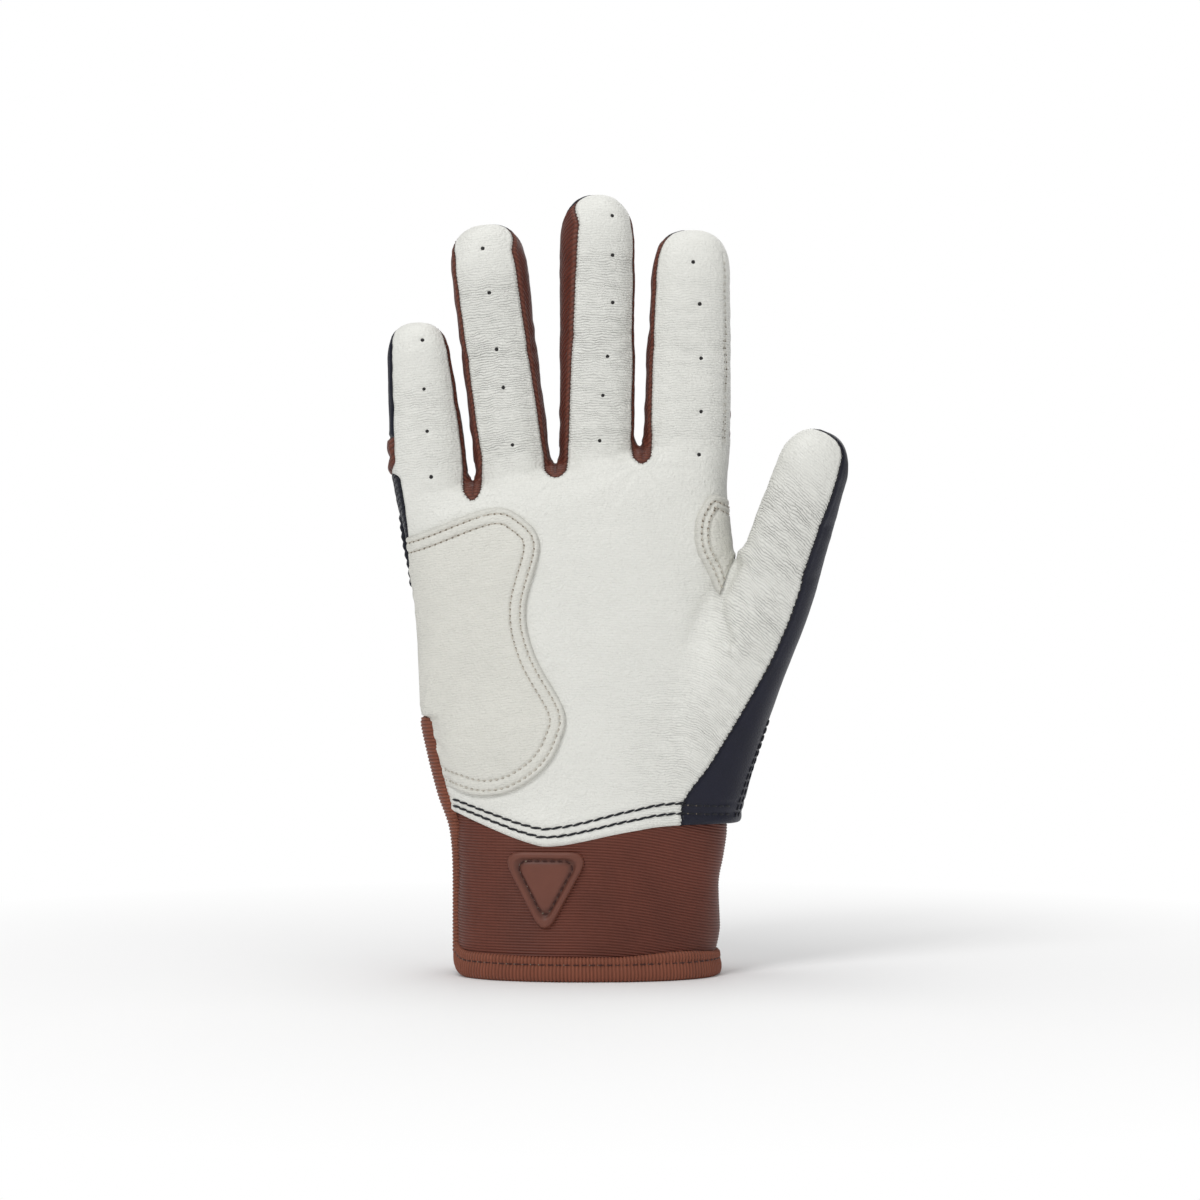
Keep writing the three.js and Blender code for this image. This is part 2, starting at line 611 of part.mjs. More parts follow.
const upperBack = handShell.intersect(back(aboveLine(BACK_EDGE)));
const backFace = cutAll(upperBack, [pinkyCut, ...webCuts]).subtract(back(rightOf(THUMB_BACK_SEAM), -1));
addPiece(glove, "hand_back_panel", geometryFrom(backFace), NAVY_LEATHER);

const thumbGusset = cutAll(handShell.intersect(thumbZone), webCuts)
  .intersect(aboveWrist)
  .intersect(through(aboveLine(BACK_EDGE)));
addPiece(glove, "thumb_side_gusset", geometryFrom(thumbGusset), NAVY_LEATHER);
const pinkyGusset = cutAll(handShell.intersect(pinkyZone), webCuts);
addPiece(glove, "pinky_side_gusset", geometryFrom(pinkyGusset), NAVY_KNIT);
for (const web of webs) {
  addPiece(glove, web.name, geometryFrom(handShell.intersect(web.solid)), BROWN_STRETCH);
}

// Overlays sewn on the palm
const heelSkin = layer(SEAM_GAP, SEAM_GAP + PAD_THICKNESS).subtract(handWithRoots(SEAM_GAP));
const heelPad = heelSkin
  .intersect(prism(smoothLine(HEEL_PAD, 30), -FAR, HEEL_WRAP_Y))
  .subtract(bindingCut);
addPiece(glove, "heel_pad", geometryFrom(heelPad), WHITE_LEATHER);
const indexRoot = (offset) => handForm(offset).add(fingerForm(INDEX, offset));
const crotchPatch = indexRoot(SEAM_GAP + PAD_THICKNESS)
  .subtract(indexRoot(SEAM_GAP))
  .intersect(prism(smoothLine(CROTCH_PATCH, 20), -FAR, PATCH_WRAP_Y))
  .subtract(fingerForm(THUMB, FLEX_GAP))
  .subtract(fingerBlock(INDEX, BLOCK_CLEARANCE + PAD_THICKNESS));
addPiece(glove, "thumb_crotch_patch", geometryFrom(crotchPatch), WHITE_LEATHER);

// The cuff
const hemTop = [[farLeft, HEM_HEIGHT + SEAM_GAP], [farRight, HEM_HEIGHT + SEAM_GAP]];
const cuffFront = cuffShell
  .intersect(front(aboveLine(hemTop)))
  .intersect(through(belowLine(wristEdge)));
addPiece(glove, "cuff_palm_panel", geometryFrom(cuffFront.subtract(bindingCut)), BROWN_CUFF);
const cuffBack = cuffShell
  .intersect(back(aboveLine(hemTop), SLIT_GAP))
  .intersect(through(belowLine(shifted(BACK_EDGE, 0, -SEAM_GAP))));
addPiece(glove, "cuff_back_panel", geometryFrom(cuffBack), BROWN_CUFF);

const slit = prism([[farLeft, -FAR], [0, -FAR], [0, FAR], [farLeft, FAR]], SPLIT_Y, SPLIT_Y + SLIT_GAP);
const hemBand = layer(-CUFF_WALL - BINDING_PROUD, BINDING_PROUD)
  .intersect(through([[farLeft, 0], [farRight, 0], [farRight, HEM_HEIGHT], [farLeft, HEM_HEIGHT]]))
  .subtract(slit);
addPiece(glove, "cuff_hem_binding", geometryFrom(hemBand), BROWN_BINDING);
const slitBinding = layer(-CUFF_WALL - BINDING_PROUD, BINDING_PROUD).intersect(bindingZone);
addPiece(glove, "slit_binding", geometryFrom(slitBinding), BROWN_BINDING);

const badgeShape = new THREE.Shape();
BADGE.corners.forEach(([x, z], i) => {
  const previous = BADGE.corners.at(i - 1);
  const next = BADGE.corners[(i + 1) % BADGE.corners.length];
  const corner = new THREE.Vector2(x, z);
  const into = new THREE.Vector2(...previous).sub(corner).setLength(BADGE.cornerLength).add(corner);
  const away = new THREE.Vector2(...next).sub(corner).setLength(BADGE.cornerLength).add(corner);
  if (i) badgeShape.lineTo(into.x, into.y);
  else badgeShape.moveTo(into.x, into.y);
  badgeShape.quadraticCurveTo(x, z, away.x, away.y);
});
const badgeOutline = badgeShape.getPoints(5).map((p) => [p.x, p.y]);
const badge = layer(SEAM_GAP, SEAM_GAP + BADGE.thickness).intersect(front(badgeOutline));
addPiece(glove, "cuff_badge", geometryFrom(badge), BROWN_RUBBER);

// The wrist strap on the back: sewn on at the slit, wrapping towards the thumb side
const patchOutline = ([x0, x1], inset) => {
  const [z0, z1] = [STRAP_BOTTOM + inset, STRAP_BOTTOM + STRAP_WIDTH - inset];
  return [[x0 + inset, z0], [x1 - inset, z0], [x1 - inset, z1], [x0 + inset, z1]];
};
const loopOuter = SEAM_GAP + PATCH_THICKNESS;
const hookInner = loopOuter + SEAM_GAP;
const strapInner = hookInner + PATCH_THICKNESS + SEAM_GAP;
const strapOuter = strapInner + STRAP_THICKNESS;
const loopPatch = layer(SEAM_GAP, loopOuter).intersect(back(patchOutline(PATCH_REACH, PATCH_INSET)));
addPiece(glove, "loop_patch", geometryFrom(loopPatch), HOOK_AND_LOOP);
const anchor = layer(SEAM_GAP, strapInner - SEAM_GAP).intersect(
  prism(patchOutline([farLeft, 0], 0), STRAP_ROOT_Y, STRAP_ROOT_Y + STRAP_ANCHOR),
);
addPiece(glove, "strap_anchor", geometryFrom(anchor), BROWN_CUFF);

const strap = new THREE.Group();
glove.add(strap);
const hookPatch = layer(hookInner, strapInner - SEAM_GAP).intersect(
  back(patchOutline(PATCH_REACH, PATCH_INSET)),
);
addPiece(strap, "hook_patch", geometryFrom(hookPatch), HOOK_AND_LOOP);
const band = layer(strapInner, strapOuter).intersect(
  prism(patchOutline([farLeft, STRAP_REACH], 0), STRAP_ROOT_Y, FAR),
);
addPiece(strap, "wrist_strap", geometryFrom(band), BROWN_CUFF);
const tabReach = [STRAP_REACH + SEAM_GAP, STRAP_REACH + TAB_LENGTH];
const strapMiddle = STRAP_BOTTOM + STRAP_WIDTH / 2;
const tabOutline = patchOutline(tabReach, 0).map(([x, z], i) =>
  i === 1 || i === 2 ? [x, mix(z, strapMiddle, TAB_TAPER)] : [x, z],
);
const tab = layer(strapInner, strapOuter + TAB_PROUD).intersect(back(tabOutline));
addPiece(strap, "strap_pull_tab", geometryFrom(tab), BROWN_RUBBER);

export default glove;
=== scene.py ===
"""Dresses a packed right-hand batting glove: leather, stretch fabric, tape, thread and a plain stage."""
import functools
import math
from typing import NamedTuple

import bpy
import numpy as np
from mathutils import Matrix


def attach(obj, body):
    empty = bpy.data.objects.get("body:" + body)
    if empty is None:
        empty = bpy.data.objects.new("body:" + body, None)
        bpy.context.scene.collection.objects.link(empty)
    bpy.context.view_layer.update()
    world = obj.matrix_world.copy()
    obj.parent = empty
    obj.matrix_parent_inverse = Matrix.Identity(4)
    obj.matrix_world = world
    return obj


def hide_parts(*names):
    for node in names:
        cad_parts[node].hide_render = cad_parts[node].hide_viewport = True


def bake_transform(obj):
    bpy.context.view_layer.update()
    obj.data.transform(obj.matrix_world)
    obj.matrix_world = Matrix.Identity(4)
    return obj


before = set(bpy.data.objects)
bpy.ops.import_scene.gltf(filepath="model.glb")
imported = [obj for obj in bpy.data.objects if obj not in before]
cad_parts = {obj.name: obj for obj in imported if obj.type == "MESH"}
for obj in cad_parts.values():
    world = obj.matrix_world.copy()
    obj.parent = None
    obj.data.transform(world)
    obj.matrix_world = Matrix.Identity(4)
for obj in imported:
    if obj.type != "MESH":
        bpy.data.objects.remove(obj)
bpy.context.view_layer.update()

import openvdb
from mathutils import Vector
from mathutils.bvhtree import BVHTree
from mathutils.kdtree import KDTree

bl_info = {
    "name": "Batting Glove",
    "version": (1, 0, 0),
    "blender": (4, 5, 0),
    "location": "3D View > Sidebar > Glove",
    "description": "Sews the panels, bindings and fittings of a batting glove over its frame",
    "category": "Object",
}

# Shapes are worked out in millimetres in the frame of the glove: +Z to the fingertips, palm to -Y.
MM = 0.001
TINY = 1e-9
SECTION_POWER = 2.3
DOME_POWER = 2.5
SNAP = 0.03
FAR_AWAY = 5.0
OUTSIDE = 30.0
CUFF_TOP = 40.0
KNUCKLE_Z = 144.2
HEM_HEIGHT = 7.0
SPLIT_Y = 2.0
SLIT_GAP = 1.0
MIDDLE_X = 2.7
BACK_EDGE_Z = 42.6
PINKY_EDGE = -53.6
INDEX_EDGE = 39.3
HALF_CUFF = 36.5
THUMB_ROOT = (26, 0, 43)
FOURCHETTE_SPAN = 74.0
FOURCHETTE_END = 4.0
FOURCHETTE_REACH = 0.7
RIB_BAND = (0.25, 11.25)
ZONE_START = -2.0
PALM_BIAS = 1.5
SMALL_ISLAND = 30.0
# The places of two fingers in the row of fingers
INDEX, THUMB = 3, 4
SURFACE_LIFT = 0.03
NO_SEAM = 9.0
PAD_CREASE = 0.26
PAD_WALL = 0.9
RIB_STEPS = 6
# Heights of the loops that the cuff, the hem and the strap are measured round
CUFF_LOOP_Z = 20.0
CUFF_LOW = 2.5
HEM_LOOP_Z = 4.0
HEM_ROW_Z = 4.62
HEM_ROW_LIFT = 0.6
STRAP_LOOP_Z = 22.0
LONGEST_ROW = 99.0
HOLLOW_ROUGHER = 0.12
SHEEN_ROUGHNESS = 0.4

# The panels of the skin
WHITE, BROWN, NAVY, GUSSET, KNIT, RIBS = range(1, 7)


def from_wrist(points):
    """Points given above the cuff's top, as heights above the ground."""
    return np.array(points, float) + (0, CUFF_TOP)


def from_knuckles(points):
    """Points given from the webs' top, as heights above the ground."""
    return np.array(points, float) + (0, KNUCKLE_Z)


# Seams and edges seen from the palm side, as x and z
WRIST_EDGE = from_wrist([(-60, 13), (-36, 5), (-17, -2), (-7.8, -3), (11.5, 0.8), (26, 2.4), (60, 1.6)])
THUMB_SEAM = from_wrist(
    [(25.8, -3), (25.8, 6), (34, 19.4), (46.2, 39.6), (53.2, 53), (59.6, 70.5), (63.8, 85)]
)
THUMB_BACK_SEAM = from_wrist([(30, -3), (34, 19), (44, 43), (50, 57), (56, 85)])
BINDING_LINE = from_wrist([(-36.2, -40), (-36.2, 0), (-37.2, 5), (-38.6, 9.4), (-41, 19), (-43.4, 31.6)])
PINKY_SEAM = from_knuckles(
    [(-49, -35.7), (-49, -29.2), (-49.9, -24.2), (-50.9, -14.2), (-52, -7.2), (-52, 2.8)]
)
PINKY_BACK_SEAM = from_knuckles([(-44, -35.7), (-46, -7.2), (-46, 2.8)])
HEEL_PAD = from_wrist([
    (-60, 83), (-49.3, 81.9), (-27.2, 89.4), (-18, 86.9), (-13, 79), (-16.8, 62), (-14.3, 49),
    (-6.3, 34), (-7.3, 25.3), (-12, 17.5), (-20.7, 11.6), (-29.4, 10.2), (-37.7, 12.2), (-60, 19),
])
CROTCH_PATCH = from_wrist([
    (46, 89), (35.4, 93.4), (31.4, 89.7), (29.8, 84.7), (30.2, 78.3), (33, 72.4), (37, 65.4), (44, 66),
])
WEBS = {
    "pinky_ring_web": [
        (-34.7, 12), (-34.6, -7), (-33.8, -10.8), (-32, -12.4), (-30.2, -10.8), (-29.5, -7), (-29.4, 12),
    ],
    "ring_middle_web": [
        (-12.2, 14), (-12.1, -1.4), (-11.2, -4.8), (-8.9, -6.1), (-6.6, -4.8), (-5.6, -1.4), (-5.5, 14),
    ],
    "middle_index_web": [
        (12.4, 16), (12.5, 1.6), (13.3, -1), (15.1, -2.2), (16.9, -1), (17.7, 1.6), (17.8, 16),
    ],
}
BADGE_CORNERS = from_wrist([(-23.6, -4.6), (-11.6, -28.4), (1.2, -4.6)])

# The braid on the hand's edge under the little finger: x and z of its middle, from a knot downwards
PINKY_BRAID = [(-53.0, 137.4), (-52.2, 133.3), (-51.8, 126.6), (-50.9, 119.8), (-49.5, 113.1), (-48.8, 107.6)]

# How the cuff's cloth swells: each noise's share, the size of its patches and its seed
CUFF_SOFTNESS = [(1, 11.0, 31), (0.5, (5.0, 5.0, 9.0), 32), (1.2, (14.0, 14.0, 30.0), 33)]

# The hem tape's section, from its outer top edge under the cuff to its inner top edge: offset and height
HEM_SECTION = [
    (-0.9, 6.4), (0.05, 6.7), (0.45, 6.2), (0.55, 5.2), (0.25, 4.6), (0.5, 4.0), (0.75, 2.6),
    (0.75, 1.4), (0.45, 0.45), (-0.3, 0.05), (-1.2, 0.05), (-2.0, 0.5), (-2.4, 1.6), (-2.5, 4.0), (-2.2, 6.2),
]

# The badge's rounded corners in points, and its section from its edge to its middle: inset and height
CORNER_STEPS = 10
BADGE_PROFILE = [
    (0, -0.2), (0, 0.5), (0.15, 1.1), (0.5, 1.4), (1.2, 1.45), (1.6, 1.2), (1.75, 0.85), (2.1, 0.7),
    (2.6, 0.7), (2.85, 0.95), (3.2, 1.05), (4.0, 1.08), (5.2, 1.1), (6.4, 1.12),
]

# The strap's lower and upper edge, the depth of its root and how far round its end reaches
STRAP_LOW, STRAP_HIGH, STRAP_ROOT_Y, STRAP_REACH = 9.0, 35.0, 12.0, 19.0
# The fold of cloth round the strap's hinge: x and y of its middle, and its radius
ROOT_FOLD, ROOT_FOLD_RADIUS = (-36.3, 12.0), 1.6
# How far the fastening patches reach in x
PATCH_REACH = (-2.5, 16.5)

# The stage in metres: each light's place, size and power, the place that they face, and the camera
LIGHTS = [
    ("key", (-0.75, -1.2, 1.25), 0.55, 12.5),
    ("fill", (1.1, -1.3, 0.5), 1.1, 3.6),
    ("top", (0.0, 0.1, 1.7), 1.0, 9.0),
    ("behind", (0.3, 1.5, 0.9), 1.2, 4.0),
]
LIT_PLACE = (0, 0, 0.1)
CAMERA_PLACE = (0.0035, -0.9, 0.1042)
SENSOR_WIDTH, LENS = 36.0, 96.4
WORLD_LIGHT = 0.36
# Half the floor's breadth and its depth under the hem, in millimetres
FLOOR_REACH, FLOOR_DROP = 3e3, 0.2

# How far inside the overlays' edges their stitch rows run, and the wrist's rows as shares of their rise
HEEL_ROWS = (1.7, 4.4)
PATCH_ROWS = (1.9, 3.7)
WRIST_ROWS = (0.62, 1.16)

# The seam down the index finger's side, and the stitch rows beside it, in degrees from the palm face's middle
INDEX_SEAM, INDEX_ROWS = 58, (55.0, 61.0)

# Folds of the palm leather round the thumb's root: a line, its depth and width, and the roll beside it
PALM_FOLDS = [
    ([(41.9, 114), (38.2, 107.5), (36.8, 102.8), (37.6, 97), (39.4, 93)], 0.9, 1.2, 0.9),
    ([(35.2, 107), (31.5, 101), (28.7, 93)], 0.35, 2.2, 0.0),
    ([(39.5, 99), (35, 90), (29.5, 80)], 0.3, 3.5, 0.0),
]

# Places that creases spread from, downwards: x, z, reach and strength
FANS = [
    (-31.9, 131.8, 12, 0.24), (-8.9, 138.2, 12, 0.22), (15.2, 142.2, 14, 0.3), (38.6, 119.5, 12, 0.24),
    (-45.5, 68.5, 13, 0.5), (-52.5, 108.0, 9, 0.3),
]

# How creased the leather of each finger is, from the little finger to the thumb
FINGER_CREASES = (0.52, 1.0, 0.9, 0.5, 1.0)

# Small holes punched through the finger leather, as x and z seen from the palm side
HOLES = [
    (-45.8, 176.4), (-45.4, 162.8), (-44.4, 150.9), (-43.4, 138.3),
    (-29.0, 201.6), (-27.2, 189.3), (-25.1, 173.6), (-23.2, 163.0), (-20.7, 147.3),
    (6.9, 210.6), (7.0, 199.6), (7.0, 186.5), (5.5, 171.6), (4.2, 161.0), (3.5, 148.4),
    (29.3, 197.7), (31.1, 186.2), (31.4, 171.1), (31.4, 156.5), (30.9, 144.5),
]


def mix(a, b, share):
    return a + (b - a) * share


def smoothstep(value, low, high):
    t = np.clip((value - low) / (high - low), 0, 1)
    return t * t * (3 - 2 * t)


def bell(value, at, width):
    """1 where a value is at its place, falling smoothly to 0 on both sides."""
    return np.exp(-(((value - at) / width) ** 2))


def quarter_round(share):
    """The height of a quarter circle, from 0 at a share of 0 to 1 at a share of 1 and past it."""
    return np.sqrt(np.clip(1 - (1 - np.clip(share, 0, 1)) ** 2, 0, 1))


def unit(vectors):
    return vectors / np.maximum(np.linalg.norm(vectors, axis=-1, keepdims=True), TINY)


def run_of(points):
    """The length along a row of points, from its first."""
    return np.concatenate([[0], np.cumsum(np.linalg.norm(np.diff(points, axis=0), axis=1))])


def track(stations, values):
    """A smooth line through values at rising stations, which doesn't swing past them."""
    at, value = np.array(stations, float), np.array(values, float)
    rises = np.diff(value) / np.diff(at)
    slopes = np.concatenate([rises[:1], (rises[1:] + rises[:-1]) / 2, rises[-1:]])
    limit = np.minimum(np.abs(rises[1:]), np.abs(rises[:-1])) * 3
    turning = rises[1:] * rises[:-1] <= 0
    slopes[1:-1] = np.where(turning, 0, np.clip(slopes[1:-1], -limit, limit))
    fine = np.linspace(at[0], at[-1], 600)
    i = np.clip(np.searchsorted(at, fine) - 1, 0, len(at) - 2)
    step = at[i + 1] - at[i]
    t = (fine - at[i]) / step
    table = (
        (2 * t**3 - 3 * t**2 + 1) * value[i]
        + (t**3 - 2 * t**2 + t) * step * slopes[i]
        + (3 * t**2 - 2 * t**3) * value[i + 1]
        + (t**3 - t**2) * step * slopes[i + 1]
    )
    return lambda x: np.interp(x, fine, table)


def smooth_line(points, steps):
    """A smooth curve through the points, as steps + 1 points."""
    p = np.array(points, float)
    along = np.linspace(0, len(p) - 1, steps + 1)
    i = np.clip(along.astype(int), 0, len(p) - 2)
    t = (along - i)[:, None]
    before, after = p[np.maximum(i - 1, 0)], p[np.minimum(i + 2, len(p) - 1)]
    a, b = p[i], p[i + 1]
    ease_a, ease_b = (b - before) / 2, (after - a) / 2
    return (
        (2 * a - 2 * b + ease_a + ease_b) * t**3
        + (3 * b - 3 * a - 2 * ease_a - ease_b) * t**2
        + ease_a * t
        + a
    )


def near_lines(x, z, starts, ends):
    """How far each point is from the nearest line, and whether an odd number of lines lie beside it."""
    nearest, odd = np.full(x.shape, np.inf), np.zeros(x.shape, bool)
    for (ax, az), (bx, bz) in zip(starts, ends):
        dx, dz = bx - ax, bz - az
        t = np.clip(((x - ax) * dx + (z - az) * dz) / (dx * dx + dz * dz), 0, 1)
        nearest = np.minimum(nearest, (x - ax - t * dx) ** 2 + (z - az - t * dz) ** 2)
        if dz:
            odd ^= ((az > z) != (bz > z)) & (x < ax + (z - az) * dx / dz)
    return np.sqrt(nearest), odd


def inside_by(x, z, outline):
    """How far each point is inside a closed outline; outside it is negative."""
    away, inside = near_lines(x, z, outline, np.roll(outline, -1, axis=0))
    return np.where(inside, away, -away)


def soft_noise(points, seed=0):
    """Smooth uneven values from -1 to 1, the same for the same place."""
    cell = np.floor(points).astype(np.int64)
    t = points - cell
    t = t * t * (3 - 2 * t)
    total = np.zeros(len(points))
    for corner in np.ndindex(2, 2, 2):
        i, j, k = (cell + corner).T
        h = (i * 73856093) ^ (j * 19349663) ^ (k * 83492791) ^ (seed * 2654435761)
        h = ((h ^ (h >> 13)) * 1274126177) & 0xFFFFFFFF
        h ^= h >> 16
        weight = np.prod(np.where(corner, t, 1 - t), axis=1)
        total += weight * ((h & 0xFFFF) / 32767.5 - 1)
    return total


def noise_at(seed, *coordinates):
    """Soft noise at places given coordinate by coordinate."""
    return soft_noise(np.stack(np.broadcast_arrays(*coordinates), -1), seed)


class Finger:
    """A finger or the thumb: a tapering tube with a domed tip, in its own leaning frame.

    Left and right are the angles of the palm face's seams at the base and the tip, fold is where the
    finger bends as a share of its length, and sides are those that have a fourchette.
    """

    def __init__(
        self, name, base, length, lean, widths, depths, tip, left, right, fold, sides, pitch=3, roots=()
    ):
        self.name, self.length, self.tip, self.sides = name, length, tip, sides
        self.left, self.right, self.fold = left, right, length * fold
        self.base = np.array(base, float)
        self.yaw = (right[1] - left[1]) / 2
        a, b = math.radians(lean), math.radians(pitch)
        self.axes = np.array([
            (math.cos(a), 0, -math.sin(a)),
            (math.sin(a) * math.sin(b), math.cos(b), math.cos(a) * math.sin(b)),
            (math.sin(a) * math.cos(b), -math.sin(b), math.cos(a) * math.cos(b)),
        ])
        rows = [(*self.local(np.array(centre)), width, depth) for centre, width, depth in roots]
        rows = rows or [(0, 0, -26, widths[0] * 0.5, depths[0] * 0.7)]
        rows += [(0, 0, 0, widths[0], depths[0]), (0, 0, length, widths[1], depths[1])]
        x, y, z, w, d = np.array(rows, float).T
        self.root = z[0]
        self.centre_x, self.centre_y, self.width, self.depth = (track(z, v) for v in (x, y, w, d))
        reach = min(12.0, self.fold * 0.62)
        self.base_bend = (1.0 if name == "thumb" else -1.0, reach - 1)
        self.fold_bend = (self.fold - min(7, self.fold * 0.34), self.fold + min(7, self.fold * 0.34))
        self.split = (self.base_bend[1] + self.fold_bend[0]) / 2

    def local(self, points):
        return (points - self.base) @ self.axes.T

    def world(self, points):
        return np.array(points, float) @ self.axes + self.base

    def distance(self, points):
        """About how far each point is outside the finger's surface."""
        x, y, z = self.local(points).T
        width, depth = self.width(z), self.depth(z)
        u = np.abs(x - self.centre_x(z)) / width
        v = np.abs(y - self.centre_y(z)) / depth
        p, q = SECTION_POWER, DOME_POWER
        ratio = (u**p + v**p) ** (1 / p) + 1e-6
        dome = np.clip((z - self.length + self.tip) / self.tip, 0, None)
        whole = (ratio**q + dome**q) ** (1 / q)
        slope = (ratio / whole) ** (q - 1) * ratio ** (1 - p)
        steep = (slope * u ** (p - 1) / width) ** 2 + (slope * v ** (p - 1) / depth) ** 2
        steep = np.sqrt(steep + ((dome / whole) ** (q - 1) / self.tip) ** 2) + 1e-4
        return np.maximum((whole - 1) / steep, self.root - z)

    def around(self, points):
        """Height along the finger, its side, the angle from the middle of the palm face, and radius."""
        x, y, z = self.local(points).T
        x, y = x - self.centre_x(z), y - self.centre_y(z)
        across = np.abs(x / self.width(z)) ** (SECTION_POWER / 2)
        deep = np.sign(y) * np.abs(y / self.depth(z)) ** (SECTION_POWER / 2)
        return z, np.where(x < 0, -1, 1), np.degrees(np.arctan2(across, -deep)), np.hypot(x, y)

    def seams(self, side, height):
        """The angles of the front and back seams at a height, which close to one seam at the tip."""
        along = np.clip(height / self.length, 0, 1)
        shoulder = self.length - self.tip
        close = smoothstep(height, shoulder + 0.4 * self.tip, self.length - 0.04 * self.tip)
        domed = np.clip((height - shoulder) / self.tip, 0, None)
        found = []
        for which, (at_base, at_tip) in ((-1, self.left), (1, self.right)):
            front = mix(at_base, at_tip, along)
            span = FOURCHETTE_SPAN if which in self.sides else 0
            end = FOURCHETTE_END * (1 - smoothstep(domed, FOURCHETTE_REACH, 0.9)) if span else 0
            meet = 90 + which * self.yaw
            found.append((mix(front, meet - end, close), mix(front + span, meet + end, close)))
        (left, left_back), (right, right_back) = found
        return np.where(side < 0, left, right), np.where(side < 0, left_back, right_back)

    def point(self, angle, height):
        """A point of the surface at an angle and height, in the glove's frame."""
        a = np.radians(angle)
        s, c = np.sin(a), np.cos(a)
        dome = np.clip((height - self.length + self.tip) / self.tip, 0, 1)
        share = (1 - dome**DOME_POWER) ** (1 / DOME_POWER)
        x = np.sign(s) * np.abs(s) ** (2 / SECTION_POWER) * self.width(height) * share
        y = -np.sign(c) * np.abs(c) ** (2 / SECTION_POWER) * self.depth(height) * share
        return self.world(np.stack([x, y, height + 0 * x], -1))


FINGERS = [
    Finger(
        "pinky", (-44.0, 0, 139.4), 42.3, -5.4, (10.7, 8.4), (8.6, 7.2), 11, (57, 55), (61, 68), 0.46, (1,)
    ),
    Finger(
        "ring", (-21.1, 0, 144.0), 65.2, -6.8, (10.8, 10.9), (9.4, 8.0), 15, (49, 58), (52, 37), 0.44, (-1, 1)
    ),
    Finger(
        "middle", (2.7, 0, 147.2), 69.9, 0, (10.8, 10.2), (9.6, 8.2), 15, (46, 25), (61, 78), 0.44, (-1, 1)
    ),
    Finger(
        "index", (27.5, 0, 148.0), 59.4, 1.6, (12.2, 10.7), (9.6, 8.2), 13, (52, 62), (104, 100), 0.45, (-1,)
    ),
    Finger(
        "thumb", (53.3, -9, 112.6), 40.8, 17, (11.4, 9.5), (11, 8.8), 13, (112, 108), (28, 46), 0.42, (),
        pitch=16, roots=[(THUMB_ROOT, 15, 15), ((39.9, -4.5, 81), 13.5, 14)],
    ),
]

# Stations up the hand: height, share of the way from the cuff's edge to the knuckles' edge, extra
# width left and right, depth in front and behind, and how the section tilts towards the thumb
STATIONS = [
    (0, 0, 0, 0, 23, 23, 0), (24, 0, 0, -0.6, 23, 23, 0), (40, 0.03, 0.4, 2.8, 23, 22, 0),
    (50.4, 0.27, -0.2, 4, 21, 19.6, 0), (69.2, 0.5, 0.2, 4.2, 19.25, 17.5, 0),
    (97.3, 0.7, -1.2, 3, 17.5, 16.1, 0), (123.4, 0.9, -1.4, 0.6, 15.4, 14.7, 0.06),
    (136.9, 0.98, -1.6, -0.6, 12.5, 12.5, 0.16), (142.6, 0.99, -1, -0.8, 8.4, 8.4, 0.2),
    (144.2, 0.98, -3, -3, 3.6, 3.6, 0.2),
]
_z, _side, _left, _right, _front, _back, _tilt = np.array(STATIONS, float).T
left_edge = track(_z, mix(-HALF_CUFF, PINKY_EDGE, _side) - _left)
right_edge = track(_z, mix(HALF_CUFF, INDEX_EDGE, _side) + _right)
front_depth, back_depth, section_tilt = track(_z, _front), track(_z, _back), track(_z, _tilt)


def palm_distance(points):
    """About how far each point is outside the bare hand without its fingers."""
    x, y, z = points.T
    height = z
    for _ in range(2):
        height = z - section_tilt(height) * (x - MIDDLE_X)
    left, right = left_edge(height), right_edge(height)
    half = (right - left) / 2
    depth = np.where(y < 0, front_depth(height), back_depth(height))
    u, v = np.abs(x - (left + right) / 2) / half, np.abs(y) / depth
    p = SECTION_POWER
    ratio = (u**p + v**p) ** (1 / p) + 1e-6
    steep = ratio ** (1 - p) * np.sqrt((u ** (p - 1) / half) ** 2 + (v ** (p - 1) / depth) ** 2) + 1e-4
    return np.maximum((ratio - 1) / steep, height - KNUCKLE_Z)


def hand_point(angle, z, offset=0.0):
    """A point of the bare hand's surface: angle 0 faces the palm side, 90 degrees faces the thumb."""
    s, c = np.sin(np.radians(angle)), np.cos(np.radians(angle))
    left, right = left_edge(z) - offset, right_edge(z) + offset
    depth = np.where(c > 0, front_depth(z), back_depth(z)) + offset
    x = (left + right) / 2 + np.sign(s) * np.abs(s) ** (2 / SECTION_POWER) * (right - left) / 2
    y = -np.sign(c) * np.abs(c) ** (2 / SECTION_POWER) * depth
    return np.stack(np.broadcast_arrays(x, y, z), -1)


def angle_at_depth(y, z):
    """The angle, past the hand's side, at which its back reaches a given y."""
    share = np.clip(np.abs(y) / back_depth(z), 0, 1) ** (SECTION_POWER / 2)
    return 90 + np.degrees(np.arcsin(share))


def angle_at_width(x, z):
    """The angle, in front, at which the hand's surface reaches a given x."""
    left, right = left_edge(z), right_edge(z)
    share = np.clip((x - (left + right) / 2) / ((right - left) / 2), -1, 1)
    return np.degrees(np.arcsin(np.sign(share) * np.abs(share) ** (SECTION_POWER / 2)))


def blended(a, b, width):
    """The smaller of two distances, with a fillet of about that width."""
    share = np.clip(0.5 + 0.5 * (b - a) / width, 0, 1)
    return mix(b, a, share) - width * share * (1 - share)


